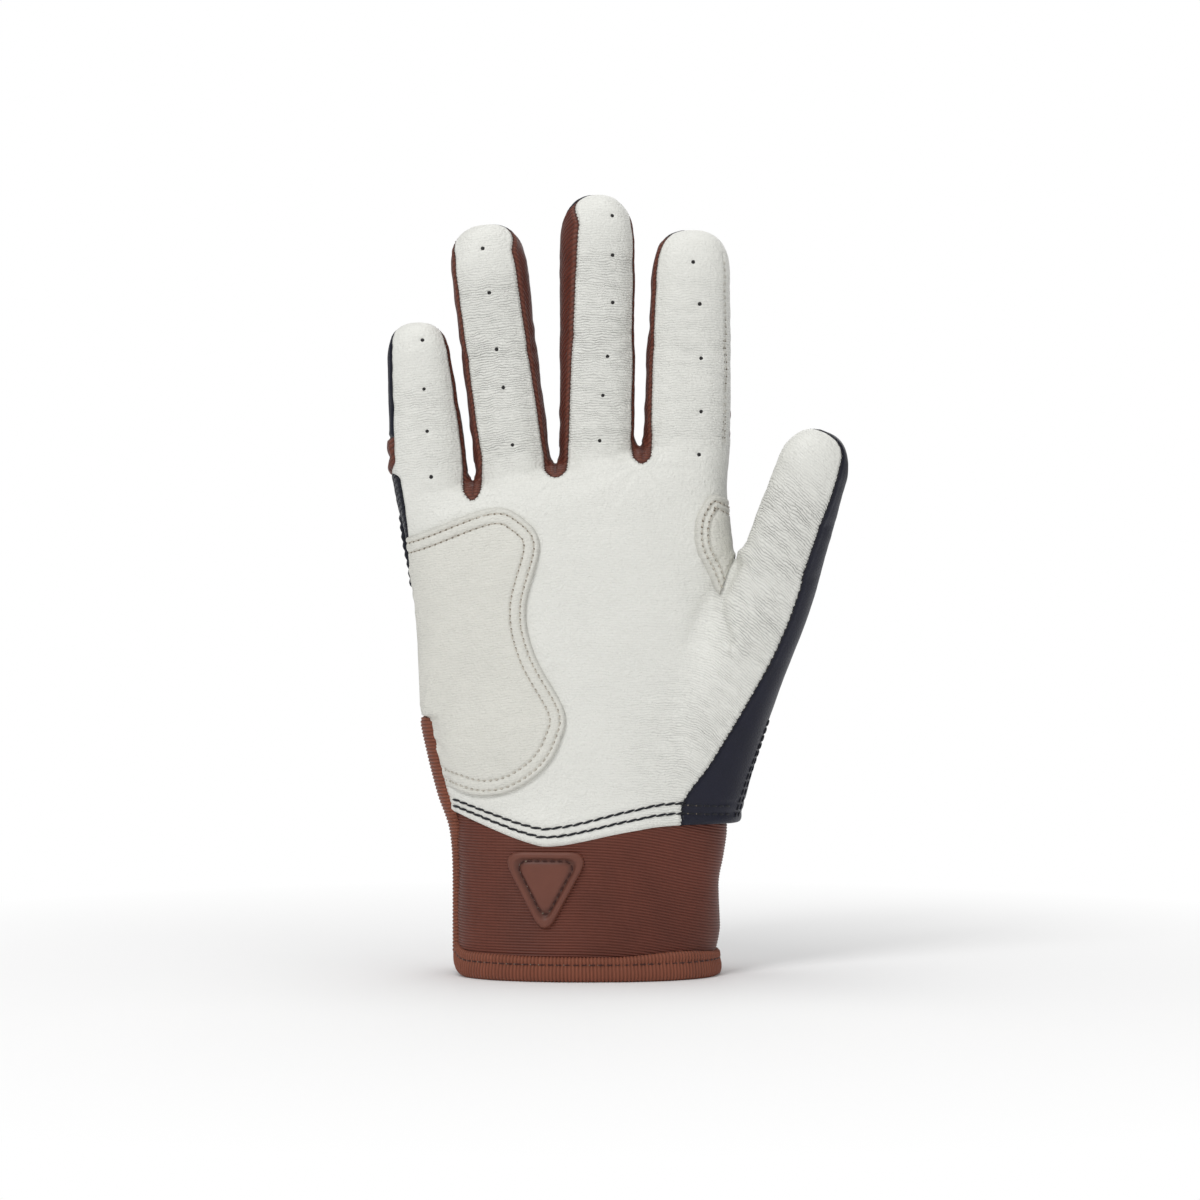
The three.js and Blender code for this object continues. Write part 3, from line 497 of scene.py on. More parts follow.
def filled_glove(voxel):
    """The glove's outer surface as triangles: every finger grown into the palm, with open crotches."""
    low, high = np.array((-60.0, -36.0, -3.0)), np.array((82.0, 28.0, 222.0))
    axes = [np.arange(a, b, voxel) for a, b in zip(low, high)]
    shape = tuple(len(a) for a in axes)
    band = 2.4

    def sample(distance, corner_low, corner_high, fill):
        start = [int(np.searchsorted(a, v)) for a, v in zip(axes, corner_low)]
        stop = [int(np.searchsorted(a, v)) for a, v in zip(axes, corner_high)]
        window = tuple(slice(a, b) for a, b in zip(start, stop))
        grid = np.meshgrid(*(a[w] for a, w in zip(axes, window)), indexing="ij")
        whole = np.full(shape, fill, np.float32)
        points = np.stack([g.ravel() for g in grid], -1)
        whole[window] = distance(points).reshape(grid[0].shape)
        return whole, window

    palm, _ = sample(palm_distance, low, (82, 28, 150), OUTSIDE)
    solid = palm.copy()
    for finger in FINGERS:
        ends = finger.world([(0, 0, finger.root), (0, 0, 0), (0, 0, finger.length)])
        if finger.name == "thumb":
            ends[0] = THUMB_ROOT
        tube, window = sample(finger.distance, ends.min(0) - 22, ends.max(0) + 22, OUTSIDE)
        fillet = 6.0 if finger.name == "thumb" else 3.0
        joined = blended(tube[window], palm[window], fillet)
        solid[window] = np.minimum(solid[window], joined)
    grid = openvdb.FloatGrid(band)
    grid.copyFromArray(np.clip(solid, -band, band))
    points, quads = grid.convertToQuads(isovalue=0.0)
    points = points * voxel + low
    first = np.linalg.norm(points[quads[:, 0]] - points[quads[:, 2]], axis=1)
    other = np.linalg.norm(points[quads[:, 1]] - points[quads[:, 3]], axis=1)
    turned = np.where((first <= other)[:, None], quads, np.roll(quads, -1, axis=1))
    faces = np.concatenate([turned[:, [0, 1, 2]], turned[:, [0, 2, 3]]])
    return points.astype(float), faces.astype(np.int64)


def survey(points):
    """What the seams need to know at each point: one column for each panel's edge and finger."""
    x, y, z = points.T
    palm = palm_distance(points)
    reach = np.array([f.distance(points) for f in FINGERS])
    heights = np.array([f.local(points)[:, 2] for f in FINGERS])
    nearest = reach[:THUMB].argmin(0)
    height, side, angle, radius, front, back = np.zeros((6, len(points)))
    sewn = np.zeros(len(points), bool)
    for i, finger in enumerate(FINGERS[:THUMB]):
        mine = nearest == i
        height[mine], side[mine], angle[mine], radius[mine] = finger.around(points[mine])
        front[mine], back[mine] = finger.seams(side[mine], height[mine])
        sewn[mine] = np.isin(side[mine], finger.sides)
    arc = np.radians(radius)
    on_finger = smoothstep(height, -1, 5)
    facing = mix(SPLIT_Y - y, ((front + back) / 2 - angle) * arc, on_finger)
    strip = np.where(sewn, np.minimum(angle - front, back - angle) * arc, -FAR_AWAY)
    web = np.max([inside_by(x, z, smooth_line(from_knuckles(line), 24)) for line in WEBS.values()], axis=0)
    brown = mix(np.clip(web, -FAR_AWAY, FAR_AWAY), np.clip(strip, -FAR_AWAY, FAR_AWAY), on_finger)
    pinky_front = np.interp(z, PINKY_SEAM[:, 1], PINKY_SEAM[:, 0])
    pinky_back = np.interp(z, PINKY_BACK_SEAM[:, 1], PINKY_BACK_SEAM[:, 0])
    knit = np.where(y < SPLIT_Y, pinky_front, pinky_back) - x
    knit = mix(np.minimum(knit, z - PINKY_SEAM[0, 1]), -FAR_AWAY, on_finger)

    thumb = FINGERS[THUMB]
    thumb_height, thumb_side, thumb_angle, thumb_radius = thumb.around(points)
    thumb_front = thumb.seams(thumb_side, thumb_height)[0]
    thumb_face = (thumb_front - thumb_angle) * np.radians(thumb_radius)
    near_thumb = (reach[THUMB] < reach[:THUMB].min(0)) & (reach[THUMB] < palm + PALM_BIAS)
    begins = np.where(thumb_side < 0, -18, -1)
    on_thumb = smoothstep(thumb_height, begins, begins + 6) * near_thumb
    seam_front = track(THUMB_SEAM[:, 1], THUMB_SEAM[:, 0])(z)
    seam_back = track(THUMB_BACK_SEAM[:, 1], THUMB_BACK_SEAM[:, 0])(z)
    gusset = x - np.where(y < SPLIT_Y + 0.3, seam_front, seam_back)
    gusset = mix(np.clip(gusset, -FAR_AWAY, FAR_AWAY), -thumb_face, on_thumb) + 0.16 * np.sin(z * 3.1)
    facing = mix(facing, thumb_face, on_thumb)
    brown = mix(brown, -FAR_AWAY, on_thumb)

    wrist_line = smooth_line(WRIST_EDGE, 60)
    wrist = np.where(y < SPLIT_Y, z - np.interp(x, wrist_line[:, 0], wrist_line[:, 1]), z - BACK_EDGE_Z)
    zones, splits = [], []
    for i, finger in enumerate(FINGERS):
        others = np.delete(reach, i, axis=0).min(0)
        clear = np.minimum(others, palm + PALM_BIAS) - reach[i]
        zones.append(np.minimum(heights[i] - ZONE_START, clear))
        splits.append(heights[i] - finger.split)
    which = reach.argmin(0)
    ribs = np.minimum(height - RIB_BAND[0], RIB_BAND[1] - height)
    ribs = np.where(which == THUMB, -FAR_AWAY, np.minimum(ribs, -facing))
    heel = inside_by(x, z, smooth_line(HEEL_PAD, 90))
    patch = inside_by(x, z, smooth_line(CROTCH_PATCH, 72))
    bound = x - np.interp(z, BINDING_LINE[:, 1], BINDING_LINE[:, 0])
    columns = {
        "facing": facing, "brown": brown, "gusset": gusset, "knit": knit, "wrist": wrist,
        "zone": np.max(zones, axis=0), "split": np.take_along_axis(np.array(splits), which[None], 0)[0],
        "ribs": ribs, "heel": heel, "patch": patch, "past_thumb": reach[THUMB] - palm - 0.4,
        "binding": np.where(z < BINDING_LINE[-1, 1] + 0.5, bound, NO_SEAM),
    }
    columns |= {f"reach{i}": reach[i] for i in range(len(FINGERS))}
    return columns


def split_along(points, faces, columns, field):
    """Splits the triangles that the field's zero line crosses. Columns are carried to new points."""
    side = np.sign(field).astype(int)
    side[np.abs(field) < SNAP] = 0
    corners = side[faces]
    crossed = (corners.min(1) < 0) & (corners.max(1) > 0)
    if not crossed.any():
        return points, faces, columns
    todo, corners = faces[crossed], corners[crossed]
    touching = (corners == 0).any(1)
    alone = corners == -np.sign(corners.sum(1))[:, None]
    first = np.where(touching, (corners == 0).argmax(1), alone.argmax(1))
    a, b, c = np.take_along_axis(todo, (first[:, None] + np.arange(3)) % 3, axis=1).T
    at, off = touching, ~touching
    starts = np.concatenate([b[at], a[off], a[off]])
    ends = np.concatenate([c[at], b[off], c[off]])
    count = len(points)
    keys, where = np.unique(np.minimum(starts, ends) * count + np.maximum(starts, ends), return_inverse=True)
    low, high = keys // count, keys % count
    share = field[low] / (field[low] - field[high])
    added = count + where
    middle, left, right = np.split(added, [at.sum(), at.sum() + off.sum()])
    parts = [
        faces[~crossed],
        np.stack([a[at], b[at], middle], 1), np.stack([a[at], middle, c[at]], 1),
        np.stack([a[off], left, right], 1), np.stack([left, b[off], c[off]], 1),
        np.stack([left, c[off], right], 1),
    ]
    points = np.concatenate([points, mix(points[low], points[high], share[:, None])])
    columns = {k: np.concatenate([v, mix(v[low], v[high], share)]) for k, v in columns.items()}
    return points, np.concatenate(parts), columns


def point_normals(points, faces):
    """Smooth outward normals, weighted by area."""
    a, b, c = (points[faces[:, k]] for k in range(3))
    flat = np.cross(b - a, c - a)
    corners = faces.ravel()
    total = np.stack(
        [np.bincount(corners, np.repeat(flat[:, k], 3), len(points)) for k in range(3)], -1
    )
    return unit(total)


def shared_edges(faces):
    """Edges that two triangles share, as pairs of points, and the two triangles."""
    edges = np.sort(np.concatenate([faces[:, [0, 1]], faces[:, [1, 2]], faces[:, [2, 0]]]), axis=1)
    owner = np.tile(np.arange(len(faces)), 3)
    keys = edges[:, 0] * (faces.max() + 1) + edges[:, 1]
    order = np.argsort(keys, kind="stable")
    same = keys[order][1:] == keys[order][:-1]
    one, two = order[:-1][same], order[1:][same]
    return edges[one], owner[one], owner[two]


def panel_borders(faces, codes):
    """The shared edges whose two triangles belong to different panels."""
    edges, one, two = shared_edges(faces)
    differ = codes[one] != codes[two]
    return edges[differ], one[differ], two[differ]


def absorb_islands(points, faces, codes, limit):
    """Gives islands smaller than a limit, in square millimetres, to the panel beside them."""
    _, one, two = shared_edges(faces)
    alike = codes[one] == codes[two]
    a, b = one[alike], two[alike]
    island, before = np.arange(len(faces)), None
    while before is None or (island != before).any():
        before = island.copy()
        low = np.minimum(island[a], island[b])
        np.minimum.at(island, a, low)
        np.minimum.at(island, b, low)
        island = island[island]
    corner = points[faces]
    areas = np.linalg.norm(np.cross(corner[:, 1] - corner[:, 0], corner[:, 2] - corner[:, 0]), axis=1) / 2
    total = np.bincount(island, areas, len(faces))
    codes = codes.copy()
    small = np.flatnonzero((total > 0) & (total < limit))
    for i in small[np.argsort(total[small])]:
        mine = island == i
        beside = np.concatenate([codes[two[mine[one] & ~mine[two]]], codes[one[mine[two] & ~mine[one]]]])
        codes[mine] = np.bincount(beside).argmax()
    return codes


def distance_to(points, targets, reach):
    """How far each point is from the nearest target, up to reach."""
    tree = KDTree(len(targets))
    for i, target in enumerate(targets):
        tree.insert(target, i)
    tree.balance()
    low, high = targets.min(0) - reach, targets.max(0) + reach
    found = np.full(len(points), float(reach))
    for i in np.flatnonzero(((points > low) & (points < high)).all(1)):
        found[i] = min(tree.find(points[i])[2], reach)
    return found


class Skin:
    """The glove's whole outer surface, cut along its seams and shaped by them."""

    def __init__(self, sizes):
        points, faces = filled_glove(sizes.surface_detail / MM)
        columns = survey(points)
        for name in ("facing", "brown", "gusset", "knit", "wrist", "zone", "split", "ribs"):
            points, faces, columns = split_along(points, faces, columns, columns[name])
        kept, codes = self.label(faces, columns)
        codes = absorb_islands(points, faces[kept], codes, SMALL_ISLAND)
        ends = points[panel_borders(faces[kept], codes)[0]]
        targets = [mix(ends[:, 0], ends[:, 1], share) for share in (0, 0.5)]
        # The fold in each web counts as a seam: it sinks like one and takes the painted seam shade
        targets.append(points[self.web_folds(points)])
        columns["seam"] = distance_to(points, np.concatenate(targets), 4.0)
        for edge in (0.3, 0.8):
            points, faces, columns = split_along(points, faces, columns, columns["seam"] - edge)
        kept, codes = self.label(faces, columns)
        self.flat, self.columns = points, columns
        self.all_faces, self.faces = faces, faces[kept]
        self.codes = absorb_islands(points, self.faces, codes, SMALL_ISLAND)
        self.means = {k: v[self.faces].mean(1) for k, v in columns.items()}
        self.nearest = np.array([self.means[f"reach{i}"] for i in range(len(FINGERS))]).argmin(0)
        self.out = point_normals(points, faces)
        self.place = self.slanted(points)
        self.points = points + self.out * self.relief(sizes)[:, None]
        whole = point_normals(self.points, self.faces)
        self.normals = {}
        for code in range(WHITE, RIBS + 1):
            own = point_normals(self.points, self.faces[self.codes == code])
            stray = (own * whole).sum(1) < 0.6
            self.normals[code] = np.where(stray[:, None], whole, own)
        self.tree = surface_tree(self.points, self.faces)

    @staticmethod
    def web_folds(points):
        """The points along the fold in the middle of each web."""
        x, y, z = points.T
        chosen = np.zeros(len(points), bool)
        for line in WEBS.values():
            middle, bottom = from_knuckles(line)[3]
            chosen |= (np.abs(x - middle) < 0.35) & (z > bottom + 1.2) & (z < bottom + 6) & (y < SPLIT_Y)
        return chosen

    @staticmethod
    def label(faces, columns):
        """Which faces belong to the sewn hand, and the panel that each is part of."""
        names = ("facing", "brown", "gusset", "knit", "wrist", "ribs")
        mean = {k: columns[k][faces].mean(1) for k in names}
        kept = mean["wrist"] > 0
        codes = np.where(mean["facing"] > 0, WHITE, NAVY)
        for name, code in (("knit", KNIT), ("gusset", GUSSET), ("ribs", RIBS), ("brown", BROWN)):
            codes[mean[name] > 0] = code
        return kept, codes[kept]

    @staticmethod
    def slanted(points):
        """The points with heights slanted so that level lines run as the leather's creases do."""
        x, z = points[:, 0], points[:, 2]
        root, thumb = 24, 46
        turning = np.clip((x - root) / (thumb - root), 0, 1)
        slant = 0.65 * ((thumb - root) * (turning**3 - turning**4 / 2) + np.maximum(x - thumb, 0))
        slant -= 0.24 * smoothstep(x, root, thumb) * (z - 97)
        below_index = 1 - smoothstep(z, 100, 130) * (1 - smoothstep(x, 42, 48))
        place = points.copy()
        place[:, 2] += slant * below_index - 0.11 * np.minimum(x + 5, 0)
        return place

    def relief(self, sizes):
        """How far each point stands out: sunk seams, creases, wrinkles, ribs and punched holes."""
        points, columns = self.flat, self.columns
        x, y, z = points.T
        seam, wrist = columns["seam"], columns["wrist"]
        white, cloth, gusset = (smoothstep(columns[k], -0.2, 0.2) for k in ("facing", "brown", "gusset"))
        white = white * (1 - cloth) * (1 - gusset)
        which = np.array([columns[f"reach{i}"] for i in range(len(FINGERS))]).argmin(0)
        height, side, angle, radius = np.zeros((4, len(points)))
        for i, finger in enumerate(FINGERS):
            mine = which == i
            height[mine], side[mine], angle[mine], radius[mine] = finger.around(points[mine])
        fold, length = np.array([(finger.fold, finger.length) for finger in FINGERS])[which].T
        on_finger = smoothstep(height, -4, 4)
        in_front = smoothstep(-y, 0, 6)
        upper_fold = mix(fold, length, 0.5)

        # Sunk seams with a pucker, the turned edge beside them, and the open slit by the cuff
        pucker = 1 + 0.35 * soft_noise(points * 0.75, 3)
        lift = -sizes.seam_depth / MM * bell(seam, 0, 0.5) * pucker
        brown = smoothstep(columns["brown"], -0.1, 0.4)
        lift += mix(0.16, 0.18, brown) * bell(seam, 1.1, 0.5) * pucker
        lift -= 0.22 * brown * smoothstep(seam, 1.4, 2.8)
        lift -= 1.1 * bell(columns["facing"], 0, 0.7) * (x < -30) * (z < 71)
        lift += 0.22 * soft_noise(points / 13.0, 5) + 0.1 * soft_noise(points / 5.5, 6)

        # Wrinkles across the fingers and the palm, and how creased the grain is
        across = np.where(on_finger > 0.5, np.radians(angle) * radius * side, x)
        along = np.where(on_finger > 0.5, height, self.place[:, 2])
        lift += 0.2 * brown * smoothstep(seam, 1.4, 2.8) * noise_at(14, across / 9, 0, along / 3.2)
        bends = bell(height, fold, 6.5) + 0.8 * bell(height, 1, 5.0) + 0.5 * bell(height, upper_fold, 4.0)
        thumb_root = np.exp(-(((x - 45) / 13) ** 2) - ((z - 97) / 15) ** 2) * in_front
        palm_crease = 0.13 + 0.07 * soft_noise(points / 16, 19)
        palm_crease += 0.42 * smoothstep(x, 0, 30) * smoothstep(-z, -92, -70) + 0.85 * thumb_root
        tip_calm = mix(0.3, 1, smoothstep(length - height, 8, 20))
        finger_crease = np.array(FINGER_CREASES)[which] * (0.75 + 0.25 * np.clip(bends, 0, 1)) * tip_calm
        # The crease value also sets how much painted shade the leather's creases take
        self.crease = np.clip(mix(palm_crease, finger_crease, on_finger), 0.06, 1)
        wrinkle = noise_at(9, across / 6.5, 0, along / 1.9 + 0.35 * soft_noise(points / 3.2, 8))
        wrinkle += 0.35 * noise_at(10, across / 4.0, 0, along / 1.25)
        strength = mix(0.22, 0.5 + 0.6 * bends, on_finger) * mix(0.35, 1, white)
        strength += 0.5 * thumb_root * white
        lift += sizes.wrinkle_height / MM * strength * wrinkle * smoothstep(seam, 0, 0.8)

        # Folds: one across each finger's bends, and those round the thumb's root
        face = smoothstep(88 - angle, 0, 35)
        wave = 0.9 * noise_at(12, across / 7, 0, 0)
        for at, depth, width in ((fold, 0.3, 1.9), (upper_fold, 0.15, 1.7), (1.5, 0.22, 2.0)):
            lift -= depth * bell(height + wave, at, width) * face * on_finger
        for line, depth, width, roll in PALM_FOLDS:
            curve = smooth_line(line, 12)
            away = near_lines(x, z, curve[:-1], curve[1:])[0]
            beside = np.where(x > np.interp(z, curve[::-1, 1], curve[::-1, 0]), away, -away)
            fold_lift = roll * bell(beside, 3.0, 2.4) - depth * bell(away, 0, width)
            lift += fold_lift * in_front * smoothstep(z, 70, 90)

        # Two ribs on each knuckle band, and the fans of creases
        rib = np.abs(np.sin(2 * math.pi * (height - RIB_BAND[0]) / (RIB_BAND[1] - RIB_BAND[0]))) ** 0.8
        bare_side = ((which == 0) & (side < 0)) | ((which == INDEX) & (side > 0))
        shown = np.where(bare_side, 1, smoothstep(angle, 118, 140))
        lift += 0.8 * rib * smoothstep(columns["ribs"], 0, 0.8) * shown
        for fan_x, fan_z, spread, depth in FANS:
            dx, dz = x - fan_x, z - fan_z
            near = (np.hypot(dx, dz) < 2.2 * spread) & (y < 0)
            away = np.hypot(dx, dz)[near]
            turn = np.arctan2(dx[near], -dz[near])
            crease = noise_at(17, turn * 8.5, away / 14, 0)
            lift[near] += depth * crease * bell(away, 0, spread) * smoothstep(away, 1.5, 6.0) * white[near]

        # The turned lower edge with its two sewn furrows, the index finger's side seam and the holes
        lift += 0.3 * bell(wrist, 1.2, 0.9) - 0.45 * np.clip(1 - wrist / 0.6, 0, 1) ** 2
        for share in WRIST_ROWS:
            lift -= 0.22 * bell(wrist, wrist_rise(x) * share, 0.55)
        off_seam = np.abs(angle - INDEX_SEAM) * np.radians(radius) + 9 * ((which != INDEX) | (side < 0))
        below_tip = height < FINGERS[INDEX].length - 6
        lift -= 0.35 * bell(off_seam, 0, 0.5) * smoothstep(height, -6, 2) * below_tip
        for hole_x, hole_z in HOLES:
            near = (np.abs(x - hole_x) < 3) & (np.abs(z - hole_z) < 3) & (y < 0)
            away = np.hypot(x[near] - hole_x, z[near] - hole_z)
            lift[near] -= 0.4 * bell(away, 0, 0.85)
        return lift

    def under(self, place, outward):
        """The place and normal of the surface below a point beside it."""
        aim = Vector(outward).normalized()
        place, normal, _, _ = self.tree.ray_cast(Vector(place) + aim * 6, -aim)
        return place + normal * SURFACE_LIFT, normal


def surface_tree(points, faces):
    """A search tree of triangles, to look at a surface along straight lines."""
    return BVHTree.FromPolygons([Vector(p) for p in points], [tuple(f) for f in faces.tolist()])


def from_palm(tree):
    """Looks at a surface from the palm side: a place and outward normal for an x and z."""
    return lambda x, z: tree.ray_cast(Vector((x, -90.0, z)), Vector((0, 1, 0)))[:2]


def from_back(tree):
    return lambda x, z: tree.ray_cast(Vector((x, 90.0, z)), Vector((0, -1, 0)))[:2]


def from_side(tree):
    """Looks at a surface from the thumb's side: a place and outward normal for a y and z."""
    return lambda y, z: tree.ray_cast(Vector((120.0, y, z)), Vector((-1, 0, 0)))[:2]


def wrist_rise(x):
    """How far above the palm's lower edge the two rows of stitches run."""
    return np.interp(x, (-36, -8, 0, 25), (3.2, 4.3, 4.4, 5.2))


# Meshes and objects


def keep_values(mesh, name, values):
    """Keeps a number or a vector for each point of a mesh."""
    values = np.asarray(values, np.float32)
    kind, field = ("FLOAT", "value") if values.ndim == 1 else ("FLOAT_VECTOR", "vector")
    kept = mesh.attributes.get(name) or mesh.attributes.new(name, kind, "POINT")
    kept.data.foreach_set(field, values.ravel())


def mesh_object(name, points, faces, place=None, seam=None, normals=None, crease=None):
    """An object from points in millimetres and faces: an array of one size, or a list of such arrays."""
    faces = [np.asarray(part, np.int32) for part in (faces if isinstance(faces, list) else [faces])]
    sizes_of_faces = np.concatenate([np.full(len(part), part.shape[1]) for part in faces])
    mesh = bpy.data.meshes.new(name)
    mesh.vertices.add(len(points))
    mesh.vertices.foreach_set("co", (np.asarray(points) * MM).astype(np.float32).ravel())
    if len(sizes_of_faces):
        mesh.loops.add(int(sizes_of_faces.sum()))
        mesh.loops.foreach_set("vertex_index", np.concatenate([part.ravel() for part in faces]))
        mesh.polygons.add(len(sizes_of_faces))
        starts = np.cumsum(sizes_of_faces) - sizes_of_faces
        mesh.polygons.foreach_set("loop_start", starts.astype(np.int32))
    mesh.update(calc_edges=True)
    mesh.polygons.foreach_set("use_smooth", np.ones(len(sizes_of_faces), bool))
    keep_values(mesh, "rest_mm", points if place is None else place)
    keep_values(mesh, "seam_mm", np.full(len(points), NO_SEAM) if seam is None else seam)
    if crease is not None:
        keep_values(mesh, "crease", crease)
    if normals is not None:
        mesh.normals_split_custom_set(normals)
    made = bpy.data.objects.new(name, mesh)
    bpy.context.scene.collection.objects.link(made)
    return made


def open_edges(faces):
    """Directed edges that only one triangle has."""
    edges = np.concatenate([faces[:, [0, 1]], faces[:, [1, 2]], faces[:, [2, 0]]])
    low, high = edges.min(1), edges.max(1)
    _, where, count = np.unique(low * (edges.max() + 1) + high, return_inverse=True, return_counts=True)
    return edges[count[where] == 1]


def leather_piece(name, points, faces, normals, out, place, seam, crease, wall):
    """A panel with its edges turned in by the wall's thickness."""
    used, faces = np.unique(faces, return_inverse=True)
    faces = faces.reshape(-1, 3)
    points, normals, out, place, seam, crease = (a[used] for a in (points, normals, out, place, seam, crease))
    rim = open_edges(faces)
    border, where = np.unique(rim, return_inverse=True)
    sunk = len(points) + where.reshape(-1, 2)
    flange = np.concatenate([
        np.stack([rim[:, 1], rim[:, 0], sunk[:, 0]], 1), np.stack([rim[:, 1], sunk[:, 0], sunk[:, 1]], 1)
    ])
    all_points = np.concatenate([points, points[border] - out[border] * wall])
    a, b, c = (all_points[flange[:, k]] for k in range(3))
    corners = np.concatenate([normals[faces.ravel()], np.repeat(unit(np.cross(b - a, c - a)), 3, axis=0)])
    place, seam, crease = (np.concatenate([a, a[border]]) for a in (place, seam, crease))
    return mesh_object(name, all_points, np.concatenate([faces, flange]), place, seam, corners, crease)


def grid_faces(rows, columns, around=False):
    """Quads of a grid of points that runs row by row; around joins the last column to the first."""
    i, j = np.meshgrid(np.arange(rows - 1), np.arange(columns if around else columns - 1), indexing="ij")
    a = (i * columns + j).ravel()
    b = (i * columns + (j + 1) % columns).ravel()
    return np.stack([a, b, b + columns, a + columns], 1)


def dress(piece, body, key, nodes=()):
    """Gives a finished piece its material, the body it moves with and the nodes it stands for."""
    piece.data.materials.clear()
    piece.data.materials.append(material(key))
    if body:
        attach(piece, body)
    if nodes:
        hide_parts(*nodes)
    return piece


def bend(piece, finger, level):
    """Bakes a piece's place into its mesh; the bodies and fold ends that it works out for the finger's lower
    or upper fold are not used.
    """
    base, tip = f"{finger.name}_base", f"{finger.name}_tip"
    bodies = ("hand", base) if level == "lower" else (base, tip)
    heights = finger.base_bend if level == "lower" else finger.fold_bend
    start, end = finger.world([(0, 0, h) for h in heights]) * MM
    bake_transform(piece)


# Nodes and materials


class Wire:
    """A node's output, so that what is worked out by nodes reads as a formula."""

    def __init__(self, tree, socket):
        self.tree, self.socket = tree, socket

    def math(self, operation, other=0.0):
        return wire(self.tree, "ShaderNodeMath", {0: self, 1: other}, operation=operation)

    def __add__(self, other):
        return self.math("ADD", other)

    def __sub__(self, other):
        return self.math("SUBTRACT", other)

    def __mul__(self, other):
        return self.math("MULTIPLY", other)

    def __truediv__(self, other):
        return self.math("DIVIDE", other)

    def __pow__(self, other):
        return self.math("POWER", other)

    def __rtruediv__(self, whole):
        return wire(self.tree, "ShaderNodeMath", {0: whole, 1: self}, operation="DIVIDE")

    def rest(self, clamp=False):
        """What is left of one."""
        return wire(self.tree, "ShaderNodeMath", {0: 1.0, 1: self}, operation="SUBTRACT", use_clamp=clamp)

    def ripple(self):
        """Rounded ridges, one for each whole step of the value."""
        return (self * math.pi).math("SINE").math("ABSOLUTE")

    def vector(self, operation, other, output=0):
        return wire(self.tree, "ShaderNodeVectorMath", {0: self, 1: other}, output, operation=operation)

    def scaled(self, size):
        return wire(self.tree, "ShaderNodeVectorMath", {0: self, "Scale": size}, operation="SCALE")

    def noise(self, scale, detail, output="Fac", roughness=0.5):
        inputs = {"Vector": self, "Scale": scale, "Detail": detail, "Roughness": roughness}
        return wire(self.tree, "ShaderNodeTexNoise", inputs, output)

    def ranged(self, low, high, start=0.0, end=1.0):
        inputs = {"Value": self, "From Min": low, "From Max": high, "To Min": start, "To Max": end}
        return wire(self.tree, "ShaderNodeMapRange", inputs)

    def feed(self, socket):
        self.tree.links.new(self.socket, socket)


def node(tree, kind, inputs=None, **settings):
    """A new node with its settings, and with its inputs set to values or joined to wires."""
    made = tree.nodes.new(kind)
    for key, value in settings.items():
        setattr(made, key, value)
    for key, value in (inputs or {}).items():
        if isinstance(value, Wire):
            value.feed(made.inputs[key])
        else:
            made.inputs[key].default_value = value
    return made


def wire(tree, kind, inputs=None, output=0, **settings):
    """A new node's output."""
    return Wire(tree, node(tree, kind, inputs, **settings).outputs[output])


def node_group(name, kind, inputs, outputs):
    """An empty node group with named sockets: its inputs as wires, and the sockets of its output."""
    tree = bpy.data.node_groups.new(name, kind)
    for label, what, default in inputs:
        made = tree.interface.new_socket(label, in_out="INPUT", socket_type="NodeSocket" + what)
        if default is not None:
            made.default_value = default
    for label, what in outputs:
        tree.interface.new_socket(label, in_out="OUTPUT", socket_type="NodeSocket" + what)
    given = {socket.name: Wire(tree, socket) for socket in tree.nodes.new("NodeGroupInput").outputs}
    return tree, given, tree.nodes.new("NodeGroupOutput").inputs


def kept_group(build):
    """Lets a builder make its node group once, named after it, and then find it again."""
    name = build.__name__.replace("_", " ").capitalize()

    @functools.wraps(build)
    def find_or_build():
        return bpy.data.node_groups.get(name) or build(name)

    return find_or_build


@kept_group
def leather_grain(name):
    """Pores and fine cross creases of full-grain leather."""
    tree, given, result = node_group(
        name, "ShaderNodeTree",
        [("Place", "Vector", None), ("Pore Size", "Float", 0.6), ("Crease Width", "Float", 1.0),
         ("Crease Share", "Float", 0.5)],
        [("Height", "Float"), ("Shade", "Float")],
    )
    place, share = given["Place"], given["Crease Share"]
    bent = place.vector("ADD", place.noise(0.9, 2.0, "Color"))
    pores = wire(
        tree, "ShaderNodeTexVoronoi", {"Vector": bent, "Scale": 1.0 / given["Pore Size"], "Smoothness": 0.6},
        "Distance", feature="SMOOTH_F1",
    )
    swing = place.vector("MULTIPLY", (0.3, 0.3, 0.35)).noise(1.0, 3.0)
    height = wire(tree, "ShaderNodeSeparateXYZ", {0: place}, "Z") + swing * 1.9
    ridge = (height / given["Crease Width"]).ripple() ** 0.7
    patch = place.vector("MULTIPLY", (0.25, 0.25, 0.5)).noise(1.0, 2.0).ranged(0.3, 0.65, 0.45)
    creases = (ridge.rest() * patch).rest()
    (creases * share + pores * 0.8).feed(result["Height"])
    # Shade falls in the creases' valleys: it paints shade into the colour and roughens the valleys
    ((creases - 1.0) * share + 1.0).feed(result["Shade"])
    return tree


@kept_group
def rib_weave(name):
    """Close ribs of a woven or knitted cloth, with the yarns that cross them."""
    tree, given, result = node_group(
        name, "ShaderNodeTree",
        [("Place", "Vector", None), ("Across", "Vector", (0, 0, 1)), ("Along", "Vector", (1, 0, 0)),
         ("Pitch", "Float", 0.8), ("Wobble", "Float", 0.5)],
        [("Height", "Float"), ("Shade", "Float")],
    )
    place = given["Place"]
    wobble = place.noise(0.35, 2.0) * given["Wobble"]
    ribs, yarns = (
        (place.vector("DOT_PRODUCT", given[way], "Value") / (given["Pitch"] * share) + wobble).ripple()
        for way, share in (("Across", 1.0), ("Along", 0.7))
    )
    height = ribs * (yarns * 0.3 + 0.7)
    height.feed(result["Height"])
    # Shade falls in the grooves between the ribs, where it paints shade into the colour
    (height**0.7).feed(result["Shade"])
    return tree


